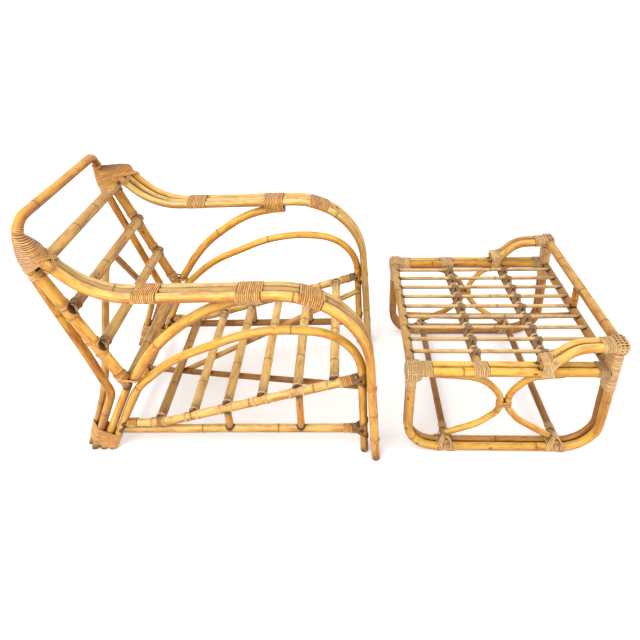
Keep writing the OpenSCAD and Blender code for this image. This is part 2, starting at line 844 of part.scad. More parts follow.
// Point and outward direction on the arm's line, d along it from the front bend's start
function arm_point(d) = let (
        u = [cos(arm_angle), sin(arm_angle)],
        start = [arm_front_x, arm_h] - u * arm_bend_cut,
        n = [-u.y, u.x],
        a = d > 0 ? d / arm_front_r * 180 / PI : 0)
    d <= 0 ? [start + u * d, n]
    : [start - n * arm_front_r + (n * cos(a) + u * sin(a)) * arm_front_r, n * cos(a) + u * sin(a)];

// Outline of the bundle as seen along it: [across, up] at the corners of one turn.
// Where the upper arch is bound in, deep is how far its axis lies under the arm's
round_in = (arm_inner_d / 2 + gap + cane_t / 2) / cos(18);
round_out = (arm_outer_d / 2 + gap + cane_t / 2) / cos(18);
arch_room = upper_arch_d / 2 + gap + cane_t / 2;
function turn_corner(k, deep) = deep > 0 && k == 4 ? [arm_outer_y + 2, -deep - arch_room / 3]
    : deep > 0 && k == 5 ? [frame_y, -deep - arch_room * 1.25]
    : deep > 0 && k == 6 ? [arm_inner_y, -deep - arch_room / 2]
    : k < 5 ? [arm_outer_y + round_out * cos(72 - 36 * k), round_out * sin(72 - 36 * k)]
    : k == 5 ? [arm_middle_y, -round_out]
    : k == 11 ? [arm_middle_y, round_in]
    : [arm_inner_y - round_in * cos(72 - 36 * (k - 6)), -round_in * sin(72 - 36 * (k - 6))];

// The arch drops away from the arm behind the end of its upper bend
arch_bend_end = arch_low.x + bend_cut([upper_arch_path[1].x, 0, upper_arch_path[1].y],
    [arch_low.x, 0, arch_low.y], [arch_end.x, 0, arch_end.y], upper_arch_bends[1]);
function arch_drop(x) = x >= arch_bend_end ? 0
    : upper_arch_bends[1] - sqrt(pow(upper_arch_bends[1], 2) - pow(arch_bend_end - x, 2));

function wound(d0, turns, arch) = [for (i = [0:turns * turn_rings]) let (
        k = i % turn_rings,
        d = d0 + turn_pitch * i / turn_rings,
        at = arm_point(d),
        deep = arch ? under_arm + arch_drop(at[0].x) : 0,
        c = turn_corner(k, deep),
        before = turn_corner((k + turn_rings - 1) % turn_rings, deep),
        after = turn_corner((k + 1) % turn_rings, deep),
        along = unit(after - before),
        inside = cross([along.x, along.y, 0], [c.x - arm_middle_y, c.y, 0]).z < 0,
        out = [along.y, -along.x] * (inside ? 1 : -1),
        o = [at[1].x * c.y, c.x, at[1].y * c.y],
        run = [at[1].y, 0, -at[1].x],
        face = [at[1].x * out.y, out.x, at[1].y * out.y])
    [for (w = [[-1, -1], [1, -1], [1, 1], [-1, 1]])
        [at[0].x, 0, at[0].y] + o + run * (w[0] * cane_w / 2) + face * (w[1] * cane_t / 2)]];

function ring_gap(rings) = min([
    for (i = [0:len(rings) - turn_rings - 3], j = [i + turn_rings - 1:i + turn_rings + 2])
    for (a = [1, 2], b = [0, 3]) norm(rings[j][b] - rings[i][a])]);

module cane_run(rings, s) {
    n = len(rings);
    pts = [for (r = rings, p = r) [p.x, s * p.y, p.z]];
    quads = [for (i = [0:n - 2], k = [0:3])
        [4 * i + k, 4 * i + (k + 1) % 4, 4 * i + 4 + (k + 1) % 4, 4 * i + 4 + k]];
    tris = [for (q = quads, t = [[0, 1, 2], [0, 2, 3]]) [for (v = t) q[v]]];
    e = 4 * n - 4;
    ends = [[0, 3, 2], [0, 2, 1], [e, e + 1, e + 2], [e, e + 2, e + 3]];
    faces = concat(tris, ends);
    polyhedron(pts, s > 0 ? faces : [for (f = faces) [f[2], f[1], f[0]]]);
}

arm_turns = 12;
arm_wraps = [for (x = arm_wrap_at) wound(
    (x - bend_end_x) / cos(arm_angle) - arm_turns * turn_pitch / 2, arm_turns,
    x == arm_wrap_at[1])];

module arm_bindings() {
    color(cane) chair() for (w = arm_wraps, s = [-1, 1]) cane_run(w, s);
}

for (w = arm_wraps)
    echo("least gap from turn to turn, in mm", ring_gap(w));

// Ottoman

module loop_pole(y, d) {
    above_floor() bent_pole(in_plane(loop_path, y), [loop_r, loop_r], d);
}

module ottoman_loop_outer_right() { color(honey) ottoman() loop_pole(-ottoman_outer_y, ottoman_d); }

module ottoman_loop_outer_left() { color(honey) ottoman() loop_pole(ottoman_outer_y, ottoman_d); }

module ottoman_loop_inner_right() { color(amber) ottoman() loop_pole(-ottoman_inner_y, ottoman_d); }

module ottoman_loop_inner_left() { color(amber) ottoman() loop_pole(ottoman_inner_y, ottoman_d); }

module side_rails(s) {
    color(honey) ottoman() for (y = [ottoman_outer_y, ottoman_inner_y]) difference() {
        straight([side_rail_from, s * y, deck_z],
            [front_leg_x(deck_z) - ottoman_d / 2 + rail_bite, s * y, deck_z], ottoman_d, [0, 1, 0]);
        front_leg_room(s * y);
    }
}

module front_leg_room(y) {
    clear([front_leg_x(deck_z - 150), y, deck_z - 150], [front_leg_x(leg_end_z), y, leg_end_z], ottoman_d);
}

module ottoman_side_rails_right() { side_rails(-1); }

module ottoman_side_rails_left() { side_rails(1); }

module cross_rail(at) {
    straight([at.x, -ottoman_clear_y, at.y], [at.x, ottoman_clear_y, at.y], cross_rail_d, [0, 0, 1]);
}

module cross_rail_room(at) {
    clear([at.x, -ottoman_clear_y, at.y], [at.x, ottoman_clear_y, at.y], cross_rail_d);
}

module ottoman_rear_rail() { color(tan) ottoman() cross_rail(rear_rail_at); }

module ottoman_front_rail() { color(tan) ottoman() cross_rail(front_rail_at); }

module ottoman_raised_rail() { color(tan) ottoman() cross_rail(raised_rail_at); }

// Arms that rise from the side rails to the raised rail at the front
rise_z = deck_z + ottoman_pitch;
raised_arm_path = [
    [raised_arm_x, rise_z + 0.2],
    [raised_arm_x + 38, rise_z + 2],
    [raised_arm_x + 38 + (raised_z - rise_z - 10) / tan(48), raised_z - 8],
    [ottoman_len - loop_lean + ottoman_d / 2, raised_z],
];

module raised_arm(y, d) {
    bent_pole(in_plane(raised_arm_path, y), [60, 90], d);
}

module ottoman_raised_arms() {
    color(honey) ottoman()
        for (y = [-ottoman_outer_y, -ottoman_inner_y, ottoman_inner_y, ottoman_outer_y])
            raised_arm(y, ottoman_d);
}

module ottoman_middle_post() {
    a = front_rail_at;
    b = raised_rail_at;
    color(amber) ottoman() difference() {
        straight([a.x, 0, a.y + 9], [b.x, 0, b.y - 9], middle_post_d, [0, 1, 0]);
        cross_rail_room(a);
        cross_rail_room(b);
    }
}

rear_scroll = [
    [62, scroll_top],
    [230, scroll_top - 14],
    [scroll_tie.x - scroll_half, scroll_tie.y + 33],
    [scroll_tie.x - scroll_half, scroll_tie.y - 36],
    [240, 119],
    [stretcher_x[0] - 4, 68],
];
front_scroll = [
    [482, scroll_top],
    [376, scroll_top - 11],
    [scroll_tie.x + scroll_half, scroll_tie.y + 52],
    [scroll_tie.x + scroll_half, scroll_tie.y - 12],
    [374, 139],
    [stretcher_x[1] - 20, 56],
];

module scrolls(s, extra = 0) {
    y = s * ottoman_pair_y;
    bent_pole(in_plane(rear_scroll, y), [140, 90, 64, 150], scroll_d + extra);
    bent_pole(in_plane(front_scroll, y), [66, 95, 75, 130], scroll_d + extra);
}

stretcher_half = ottoman_outer_y + 8;
module stretcher_room() {
    for (x = stretcher_x)
        clear([x, -stretcher_half - gap, runner_top_z], [x, stretcher_half + gap, runner_top_z],
            stretcher_d);
}

module ottoman_scrolls(s) {
    color(amber) ottoman() difference() {
        scrolls(s);
        stretcher_room();
    }
}

module ottoman_scrolls_right() { ottoman_scrolls(-1); }

module ottoman_scrolls_left() { ottoman_scrolls(1); }

module ottoman_floor_stretchers() {
    color(tan) ottoman() for (x = stretcher_x)
        straight([x, -stretcher_half, runner_top_z], [x, stretcher_half, runner_top_z], stretcher_d,
            [0, 0, 1]);
}

module ottoman_deck_poles() {
    half = ottoman_clear_y + 6;
    color(amber) ottoman() for (x = deck_pole_x) difference() {
        straight([x, -half, deck_pole_z], [x, half, deck_pole_z], deck_pole_d, [0, 0, 1]);
        for (s = [-1, 1])
            clear([x - 60, s * ottoman_inner_y, deck_z], [x + 60, s * ottoman_inner_y, deck_z], ottoman_d);
    }
}

// Brace under the deck, bowed to pass below the deck poles
brace_drop = (cross_rail_d + deck_brace_d) / 2 + gap;
deck_brace_path = [
    [rear_rail_at.x - 10, 0, rear_rail_at.y - brace_drop - 0.6],
    [deck_pole_x[0], 0, under_pole_z - 0.6],
    [deck_pole_x[1], 0, under_pole_z - 0.6],
    [front_rail_at.x + 10, 0, front_rail_at.y - brace_drop - 0.2],
];

module ottoman_deck_brace() {
    color(amber) ottoman() bent_pole(deck_brace_path, [400, 400], deck_brace_d);
}

module ottoman_deck_rods() {
    color(tan) ottoman() for (i = [0:rod_count - 1]) {
        y = -rod_reach + i * rod_step;
        difference() {
            straight([rear_rail_at.x + 10, y, rod_z], [front_rail_at.x - 8, y, rod_z], rod_d, [0, 1, 0]);
            cross_rail_room(rear_rail_at);
            cross_rail_room(front_rail_at);
            clear([front_rail_at.x, 0, deck_z], [raised_rail_at.x, 0, raised_z], middle_post_d);
        }
    }
}

// Band of cane round a pair of side poles, from a to b
module pair_band(s, a, b, u) {
    band(a, b, u, [[-ottoman_pitch / 2, 0, ottoman_d], [ottoman_pitch / 2, 0, ottoman_d]]);
}

module ottoman_corner_bindings() {
    color(cane) ottoman() for (s = [-1, 1]) {
        y = s * ottoman_pair_y;
        legs = [deck_z - 78, deck_z - 20];
        difference() {
            union() {
                pair_band(s, [24, y, deck_z], [58, y, deck_z], [0, 1, 0]);
                pair_band(s, [rear_leg_at(legs[0]), y, legs[0]], [rear_leg_at(legs[1]), y, legs[1]],
                    [0, 1, 0]);
                pair_band(s, [front_leg_x(legs[0]), y, legs[0]], [front_leg_x(legs[1]), y, legs[1]],
                    [0, 1, 0]);
                pair_band(s, [front_leg_x(deck_z + 22), y, deck_z + 22],
                    [front_leg_x(raised_z - 20), y, raised_z - 20], [0, 1, 0]);
            }
            scrolls(s, 2 * gap);
        }
    }
}

function rear_leg_at(z) = -rear_lean * (z - floor_z) / (deck_z - floor_z);

module ottoman_arm_bindings() {
    color(cane) ottoman() for (s = [-1, 1]) {
        y = s * ottoman_pair_y;
        x_top = raised_rail_at.x - cross_rail_d / 2 - 37;
        a = raised_arm_path[2];
        b = raised_arm_path[3];
        z_top = a.y + (b.y - a.y) * (x_top - a.x) / (b.x - a.x);
        difference() {
            band([raised_arm_x + 4, y, deck_z], [raised_arm_x + 34, y, deck_z], [0, 1, 0], [
                [-ottoman_pitch / 2, 0, ottoman_d], [ottoman_pitch / 2, 0, ottoman_d],
                [ottoman_pitch / 2, ottoman_pitch + 1, ottoman_d],
                [-ottoman_pitch / 2, ottoman_pitch + 1, ottoman_d], [-ottoman_pitch / 2, 0, ottoman_d]]);
            for (k = [ottoman_outer_y, ottoman_inner_y]) {
                raised_arm(s * k, ottoman_d + 2 * gap);
                clear([raised_arm_x - 90, s * k, deck_z], [raised_arm_x + 90, s * k, deck_z], ottoman_d);
            }
            scrolls(s, 2 * gap);
            deck_pole_room(s);
        }
        pair_band(s, [x_top, y, z_top], [x_top + 35, y, z_top + 35 * (b.y - a.y) / (b.x - a.x)],
            [0, 1, 0]);
    }
}

module deck_pole_room(s) {
    for (x = deck_pole_x)
        clear([x, 0, deck_pole_z], [x, s * ottoman_inner_y, deck_pole_z], deck_pole_d);
}

module ottoman_runner_bindings() {
    color(cane) ottoman() above_floor(2 * gap) for (s = [-1, 1]) difference() {
        y = s * ottoman_pair_y;
        for (x = stretcher_x)
            pair_band(s, [x - 24, y, floor_z], [x + 24, y, floor_z], [0, 1, 0]);
        stretcher_room();
        scrolls(s, 2 * gap);
        for (k = [ottoman_outer_y, ottoman_inner_y])
            bent_pole(in_plane(loop_path, s * k), [loop_r, loop_r], ottoman_d + 2 * gap);
    }
}

module ottoman_scroll_ties() {
    color(cane) ottoman() for (s = [-1, 1]) difference() {
        band([scroll_tie.x, s * ottoman_pair_y, scroll_tie.y - 8],
            [scroll_tie.x, s * ottoman_pair_y, scroll_tie.y + 14], [1, 0, 0],
            [[-scroll_half, 0, scroll_d], [scroll_half, 0, scroll_d]]);
        scrolls(s, 2 * gap);
    }
}

// Cane wound round the deck poles between the rods
module ottoman_deck_lashings() {
    margin = deck_brace_d / 2 + 3;
    color(cane) ottoman() for (x = deck_pole_x, i = [0:rod_count - 2]) {
        y = -rod_reach + i * rod_step;
        ring([x, y + margin, deck_pole_z], [x, y + rod_step - margin, deck_pole_z], deck_pole_d);
    }
}

module ottoman_rail_bindings() {
    color(cane) ottoman() for (s = [-1, 1], k = [-1, 1]) {
        y = s * ottoman_pair_y;
        x = deck_pole_x[0] + k * (deck_pole_d / 2 + 10);
        difference() {
            pair_band(s, [x - 8, y, deck_z], [x + 8, y, deck_z], [0, 1, 0]);
            scrolls(s, 2 * gap);
            deck_pole_room(s);
        }
    }
}

// What is drawn
back_hoop();
back_post_right();
back_post_left();
back_pole_low();
back_pole_middle();
back_pole_top();
seat_rear_pole();
rear_arch();
arm_outer_right();
arm_middle_right();
arm_inner_right();
arm_outer_left();
arm_middle_left();
arm_inner_left();
upper_arch_right();
upper_arch_left();
lower_arch_right();
lower_arch_left();
rear_leg_right();
rear_leg_left();
seat_rail_right();
seat_rail_left();
floor_rail_right();
floor_rail_left();
spacer_posts();
seat_slats();
rear_stretcher();
long_brace();
branch_brace();
corner_bindings();
arm_bindings();
foot_bindings();
joint_bindings();
rail_bindings();
slat_straps();
back_pole_straps();
front_leg_straps();
ottoman_loop_outer_right();
ottoman_loop_inner_right();
ottoman_loop_outer_left();
ottoman_loop_inner_left();
ottoman_side_rails_right();
ottoman_side_rails_left();
ottoman_rear_rail();
ottoman_front_rail();
ottoman_raised_rail();
ottoman_raised_arms();
ottoman_middle_post();
ottoman_scrolls_right();
ottoman_scrolls_left();
ottoman_floor_stretchers();
ottoman_deck_poles();
ottoman_deck_brace();
ottoman_deck_rods();
ottoman_corner_bindings();
ottoman_arm_bindings();
ottoman_runner_bindings();
ottoman_scroll_ties();
ottoman_deck_lashings();
ottoman_rail_bindings();
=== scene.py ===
"""Looks of the rattan lounge chair and its ottoman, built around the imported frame.

Sizes are in millimetres, as in the CAD source, and meshes are made in metres.
"""
import json
import math

import bpy
import numpy as np
from mathutils import Matrix, Vector


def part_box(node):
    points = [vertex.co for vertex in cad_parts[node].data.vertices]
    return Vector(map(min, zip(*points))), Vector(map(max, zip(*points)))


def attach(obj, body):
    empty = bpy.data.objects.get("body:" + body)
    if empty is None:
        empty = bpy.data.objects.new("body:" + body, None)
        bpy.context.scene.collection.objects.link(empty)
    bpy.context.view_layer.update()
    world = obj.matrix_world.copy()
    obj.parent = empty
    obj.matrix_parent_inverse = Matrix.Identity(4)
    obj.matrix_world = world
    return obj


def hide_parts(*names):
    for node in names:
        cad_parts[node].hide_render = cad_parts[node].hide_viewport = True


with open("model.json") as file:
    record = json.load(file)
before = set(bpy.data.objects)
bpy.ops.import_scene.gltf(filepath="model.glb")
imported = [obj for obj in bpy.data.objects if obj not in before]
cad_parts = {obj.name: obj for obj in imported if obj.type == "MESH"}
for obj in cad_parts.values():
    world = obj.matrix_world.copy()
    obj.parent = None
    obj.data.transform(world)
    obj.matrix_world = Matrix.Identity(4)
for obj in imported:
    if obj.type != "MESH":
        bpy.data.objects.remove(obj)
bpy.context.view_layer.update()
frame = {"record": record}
MM = 0.001

# Driving sizes, the same as the CAD model's
CHAIR_W, FRAME_W, CHAIR_H, ARM_H = 734, 630, 908, 699
FRONT_FOOT_X, JOINT_Z, JOINT_BACK, POST_LEAN, POST_LEN = 813, 320, 20, 20, 490
ARM_FALL, ARM_LOW_BACK, RISE_ANGLE, LEG_RAKE = 13, 12, 47.5, 52
ARM_BACK_R, ARM_FRONT_R = 237, 275
FLOOR_RAIL_Z, SEAT_SLOPE, FIRST_SLAT_X, SLAT_REACH, SLAT_COUNT = 104, 17.4, 47, 620, 6
LOW_BACK_POLE, BACK_POLE_STEP, BACK_POLE_LEAD = 170, 152, 19
HOOP_TOP_BACK, HOOP_KNEE_Z, HOOP_KNEE_BACK, HOOP_CORNER_R = 205, 280, 86, 60
POST_D, BACK_POLE_D, HOOP_D, ARM_OUTER_D, ARM_INNER_D = 38, 35, 29, 30, 26
UPPER_ARCH_D, LEG_D, RAIL_D, SLAT_D, REAR_ARCH_D, BRACE_D = 32, 28, 31, 33, 26, 23
CANE_T, GAP = 1.8, 0.3
ARM_TWIST = 10
OTTOMAN_W, OTTOMAN_LEN, DECK_Z, RAISED_Z = 744, 661, 370, 474
OTTOMAN_D, SCROLL_D, ROD_D, ROD_COUNT, LOOP_R = 30, 23, 14, 9, 110
CROSS_RAIL_D, STRETCHER_D, DECK_POLE_D, DECK_BRACE_D, MIDDLE_POST_D = 32, 26, 28, 22, 26
LOOP_LEAN, REAR_LEAN = 46, 8

SIDES = {"right": -1, "left": 1}

# How fine the meshes are: length between rings of points, points round a pole and round a binding
STEP, AROUND, LOOP_POINTS = 6.0, 28, 48
# Distance from a node ring that counts as none
FAR = 99.0
# Lowest points that poles and cane reach
POLE_LOW, CANE_LOW = 0.1, 0.2


def deg(angle):
    return math.radians(angle)


def unit(v):
    v = np.asarray(v, float)
    return v / np.linalg.norm(v)


def units(v):
    """Every row of v at unit length."""
    return v / np.linalg.norm(v, axis=-1, keepdims=True)


def srgb(code):
    """Linear colour of a hex code."""
    parts = [int(code[i:i + 2], 16) / 255 for i in (0, 2, 4)]
    return [c / 12.92 if c < 0.04045 else ((c + 0.055) / 1.055) ** 2.4 for c in parts] + [1.0]


def place_of(x_node, x_from_low, y_low, y_high):
    """Where a piece's origin stands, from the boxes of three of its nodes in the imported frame."""
    low_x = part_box(x_node)[0].x / MM + x_from_low
    middle = (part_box(y_low)[0].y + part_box(y_high)[1].y) / 2 / MM
    return np.array([low_x, middle, 0.0])


STRETCHER_X = [135, OTTOMAN_LEN - 140]
CHAIR = place_of("seat_slats", SLAT_D / 2 - FIRST_SLAT_X, "arm_outer_right", "arm_outer_left")
OTTOMAN = place_of("ottoman_floor_stretchers", STRETCHER_D / 2 - STRETCHER_X[0],
                   "ottoman_loop_outer_right", "ottoman_loop_outer_left")


# Lines


class Line:
    """A line of points, in mm, measured along its length."""

    def __init__(self, points):
        self.p = np.asarray(points, float)
        self.s = np.concatenate([[0], np.cumsum(np.linalg.norm(np.diff(self.p, axis=0), axis=1))])
        self.length = self.s[-1]

    def at(self, s):
        return np.stack([np.interp(s, self.s, self.p[:, k]) for k in range(3)], -1)

    def direction(self, s):
        s = np.asarray(s, float)
        return units(self.at(np.minimum(s + 2, self.length)) - self.at(np.maximum(s - 2, 0)))

    def nearest(self, point):
        """Length along the line at its nearest place to a point."""
        s = np.arange(0, self.length, 1.0)
        return float(s[np.linalg.norm(self.at(s) - point, axis=1).argmin()])


def rounded(points, radii, origin):
    """Line through points about an origin, each inner corner rounded by its own radius."""
    p = [np.asarray(q, float) + origin for q in points]
    out = [p[0]]
    for i in range(1, len(p) - 1):
        a, b = unit(p[i] - p[i - 1]), unit(p[i + 1] - p[i])
        turn = math.acos(max(-1, min(1, a @ b)))
        r = radii[i - 1]
        start = p[i] - a * r * math.tan(turn / 2)
        inward = unit(b - a * (a @ b))
        count = max(6, int(r * turn / 4))
        for t in np.linspace(0, turn, count):
            out.append(start + inward * r * (1 - math.cos(t)) + a * r * math.sin(t))
    out.append(p[-1])
    return Line(out)


def upright(path, y):
    """Path of places (x, z) stood up at a width y."""
    return [(x, y, z) for x, z in path]


# Meshes

# Attributes of the meshes' points, with the numbers that each holds
FIELDS = {"grain": 3, "ring": 1, "stain": 1, "grime": 1, "cut": 1, "edge": 1, "tint": 1, "scar": 1}


class Part:
    """Gathers closed tubes of one material into one mesh."""

    def __init__(self):
        self.verts, self.quads, self.tris = [], [], []
        self.fields = {k: [] for k in FIELDS}
        self.count = 0

    def add(self, verts, quads, tris, **fields):
        verts = np.asarray(verts, float)
        flip = volume_sign(verts, quads, tris) < 0
        for faces, kept in ((quads, self.quads), (tris, self.tris)):
            faces = np.asarray(faces, int)
            if len(faces):
                kept.append((faces[:, ::-1] if flip else faces) + self.count)
        self.verts.append(verts)
        for k, width in FIELDS.items():
            value = np.asarray(fields.get(k, 0.0), float)
            full = np.zeros((len(verts), width))
            full[:] = value.reshape(-1, width) if value.ndim else value
            self.fields[k].append(full)
        self.count += len(verts)

    def build(self, name, material, body, slot, *nodes):
        verts = np.concatenate(self.verts) * MM
        quads = np.concatenate(self.quads) if self.quads else np.zeros((0, 4), int)
        tris = np.concatenate(self.tris) if self.tris else np.zeros((0, 3), int)
        mesh = bpy.data.meshes.new(name)
        mesh.vertices.add(len(verts))
        mesh.vertices.foreach_set("co", verts.astype(np.float32).ravel())
        corners = np.concatenate([quads.ravel(), tris.ravel()]).astype(np.int32)
        mesh.loops.add(len(corners))
        mesh.loops.foreach_set("vertex_index", corners)
        starts = np.concatenate([np.arange(len(quads)) * 4,
                                 len(quads) * 4 + np.arange(len(tris)) * 3])
        mesh.polygons.add(len(starts))
        mesh.polygons.foreach_set("loop_start", starts.astype(np.int32))
        mesh.update(calc_edges=True)
        mesh.validate()
        mesh.shade_smooth()
        for k, width in FIELDS.items():
            kind = "FLOAT_VECTOR" if width == 3 else "FLOAT"
            layer = mesh.attributes.new(k, kind, "POINT")
            data = np.concatenate(self.fields[k]).astype(np.float32).ravel()
            layer.data.foreach_set("vector" if width == 3 else "value", data)
        mesh.materials.append(material)
        obj = bpy.data.objects.new(name, mesh)
        bpy.context.scene.collection.objects.link(obj)
        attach(obj, body)
        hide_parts(*nodes)
        return obj


def volume_sign(verts, quads, tris):
    """Above zero where the faces of a closed mesh point outward."""
    total = 0.0
    for faces in (quads, tris):
        faces = np.asarray(faces, int)
        if not len(faces):
            continue
        centre = verts.mean(0)
        a = verts[faces[:, 0]] - centre
        for k in range(1, faces.shape[1] - 1):
            b, c = verts[faces[:, k]] - centre, verts[faces[:, k + 1]] - centre
            total += np.einsum("ij,ij->i", a, np.cross(b, c)).sum()
    return total


def grid_faces(rows, across, wrap=True):
    """Quads between rows of points."""
    i, j = np.meshgrid(np.arange(rows - 1), np.arange(across if wrap else across - 1),
                       indexing="ij")
    k = (j + 1) % across
    return np.stack([i * across + j, i * across + k, (i + 1) * across + k, (i + 1) * across + j],
                    -1).reshape(-1, 4)


def smooth_noise(rng, s, spacing):
    """Smooth random curve of about unit height, along lengths s."""
    count = int(s.max() / spacing) + 4
    values = rng.normal(size=count)
    x = s / spacing
    i = np.floor(x).astype(int)
    t = x - i
    t = t * t * (3 - 2 * t)
    return values[i] * (1 - t) + values[i + 1] * t


# Poles

POLES = {}

# How much browner than the rest of its tone a pole is: partly its age, partly painted shade on poles that
# stand in shade
AGE_AND_SHADE = {"floor_rail_left": 1.0, "slat_0": 0.85, "slat_2": 0.25, "long_brace": 0.9, "loop_inner_right": 0.8,
        "loop_inner_left": 0.9, "loop_outer_left": 0.8, "loop_outer_right": 0.25, "front_rail": 0.9,
        "rear_rail": 0.6, "raised_rail": 0.55, "floor_stretcher_0": 1.0, "floor_stretcher_1": 1.0,
        "side_rail_inner_left": 0.55, "side_rail_outer_left": 0.3, "raised_arm_outer_left": 0.6,
        "scroll_rear_left": 0.75, "scroll_rear_right": 0.1, "post_left": 0.4, "deck_brace": 0.5,
        "arm_middle_right": 0.6, "arm_inner_right": 0.15, "back_pole_middle": 0.2, "seat_rear": 0.25,
        "rear_arch": 0.3, "spacer_0_left": 0.45, "spacer_1_left": 0.5, "floor_rail_right": 0.15}
AGED_AND_SHADED = (0.5, 0.36, 0.2, 1.0)

# Places of extra points: about a node ring, and from a pole's end, where its edge is rounded off
RING_STEPS = (-8, -4.5, -2.4, -1.4, -0.7, 0, 0.7, 1.4, 2.4, 4.5, 8)
END_STEPS = (0.7, 1.8, 3.5)
# Height and width of the swelling at a node ring, of the crease in it and of an end's rounded edge
SWELL, CREASE, ROUND = (0.5, 6), (0.8, 0.9), (1.6, 0.9)
# Shares of a pole's dark ends that its surface and its cut faces take
STAIN_GAIN, CAP_STAIN = 1.6, 0.35
# Painted shade near another pole: how far that one is looked for, and the gap over which the shade fades
CONTACT_SHADE_SEARCH, CONTACT_SHADE_FADE = 30, 4.2


class Pole:
    """One length of rattan. Its ends are round, level with the floor, or coped to a neighbour."""

    def __init__(self, key, node, line, d, tone, cuts=("round", "round"), dark=(0.5, 0.5),
                 rings=None, scars=(), wave=0.0, spread=14):
        self.key, self.node, self.line, self.r, self.tone = key, node, line, d / 2, tone
        self.cuts, self.dark, self.scars, self.wave, self.spread = cuts, dark, scars, wave, spread
        self.age_and_shade = AGE_AND_SHADE.get(key, 0.0)
        self.rng = np.random.default_rng(sum(ord(c) * (i + 3) for i, c in enumerate(key)))
        self.rings = rings if rings is not None else self.random_rings()
        POLES[key] = self

    def random_rings(self):
        rings, s = [], self.rng.uniform(160, 380)
        while s < self.line.length - 60:
            rings.append(s)
            s += self.rng.uniform(380, 620)
        return rings

    def stations(self):
        """Lengths at which the mesh has a ring of points."""
        length = self.line.length
        s = list(np.linspace(0, length, max(4, int(length / STEP))))
        s += [at + d for at in self.rings for d in RING_STEPS]
        s += [v for d in END_STEPS for v in (d, length - d)]
        s = np.array(sorted(v for v in s if 0 <= v <= length))
        return s[np.concatenate([[True], np.diff(s) > 0.35])]

    def frames(self, s):
        """Directions along the line and two across it, turned as little as possible."""
        along = self.line.direction(s)
        side = np.array([0.0, 1.0, 0.0]) if abs(along[0][1]) < 0.8 else np.array([1.0, 0.0, 0.0])
        a = np.zeros_like(along)
        for i, t in enumerate(along):
            side = unit(side - t * (side @ t))
            a[i] = side
        return along, a, np.cross(along, a)

    def radius(self, s):
        """Radius along the pole, with a low swelling and a fine crease at each node ring."""
        r = self.r * (1 + 0.010 * smooth_noise(self.rng, s, 60))
        for at in self.rings:
            d = s - at
            r = r + SWELL[0] * np.exp(-(d / SWELL[1]) ** 2) - CREASE[0] * np.exp(-(d / CREASE[1]) ** 2)
        for d in (s, self.line.length - s):
            r = r - ROUND[0] * np.exp(-d / ROUND[1])
        return r

    def end_shift(self, cut, end, along, round_points):
        """How far each point round an end moves along the pole to meet the cut."""
        if cut == "round":
            return np.zeros(len(round_points))
        if cut == "floor":
            return -(end[2] + round_points[:, 2]) / along[2]
        centre, axis, r = cut
        axis = unit(axis)
        p = end + round_points - centre
        p = p - np.outer(p @ axis, axis)
        d = along - axis * (along @ axis)
        a, b, c = d @ d, 2 * p @ d, np.einsum("ij,ij->i", p, p) - r * r
        inside = np.sqrt(np.maximum(b * b - 4 * a * c, 0))
        roots = np.stack([(-b - inside) / (2 * a), (-b + inside) / (2 * a)])
        return roots[np.abs(roots).argmin(0), np.arange(len(round_points))]

    def mesh(self, part, grime):
        """Adds the pole to a part, with its cut ends and its scars."""
        s = self.stations()
        along, a, b = self.frames(s)
        theta = np.arange(AROUND) / AROUND * 2 * math.pi
        r = self.radius(s)[:, None] * (1 + 0.008 * np.cos(2 * theta + self.rng.uniform(0, 6)))[None]
        out = a[:, None] * np.cos(theta)[None, :, None] + b[:, None] * np.sin(theta)[None, :, None]
        ease = np.clip(np.minimum(s, self.line.length - s) / 60, 0, 1)
        drift = sum((smooth_noise(self.rng, s, 120) * ease * self.wave)[:, None] * v for v in (a, b))
        points = (self.line.at(s) + drift)[:, None] + out * r[..., None]
        for i, cut in zip((0, -1), self.cuts):
            shift = self.end_shift(cut, self.line.at(s[i]), along[i], out[i] * r[i][:, None])
            weight = np.clip(1 - np.abs(s - s[i]) / 30, 0, 1) ** 2
            points += weight[:, None, None] * shift[None, :, None] * along[i]
        grain = self.grain(s, theta)
        ring = np.min([np.abs(s - at) for at in self.rings] or [s * 0 + FAR], axis=0)
        stain = np.maximum(self.dark[0] * np.exp(-s / self.spread),
                           self.dark[1] * np.exp(-(self.line.length - s) / self.spread))
        stain = np.minimum(stain * STAIN_GAIN, 1.0)
        rows, n = len(s), AROUND
        verts = [points.reshape(-1, 3)]
        fields = {"grain": [grain.reshape(-1, 3)], "ring": [np.repeat(ring, n)],
                  "stain": [np.repeat(stain, n)], "cut": [np.zeros(rows * n)]}
        quads, tris, base = [grid_faces(rows, n)[:, ::-1]], [], rows * n
        # Each end is closed by a ring of quads and a fan, slightly sunk in its middle
        for i, way in ((0, 1), (-1, -1)):
            edge, middle = points[i], points[i].mean(0)
            inset = along[i] * 0.5 * way
            verts += [edge, middle + (edge - middle) * 0.6 + inset * 0.4, [middle + inset]]
            quads.append(grid_faces(2, n)[:, ::way] + base)
            k, inner = np.arange(n), base + n
            tris.append(np.stack([inner + k, inner + (k + 1) % n, np.full(n, inner + n)], -1)[:, ::way])
            fields["grain"] += [np.tile(self.grain(s[[i]], theta)[0], (2, 1)),
                                np.array([[0, 0, s[i]]]) + self.seed_offset()]
            for field, value in (("ring", FAR), ("stain", self.dark[i] * CAP_STAIN), ("cut", 1.0)):
                fields[field].append(np.full(2 * n + 1, value))
            base += 2 * n + 1
        verts = np.concatenate(verts)
        verts[:, 2] = np.maximum(verts[:, 2], POLE_LOW)
        fields = {k: np.concatenate(v) for k, v in fields.items()}
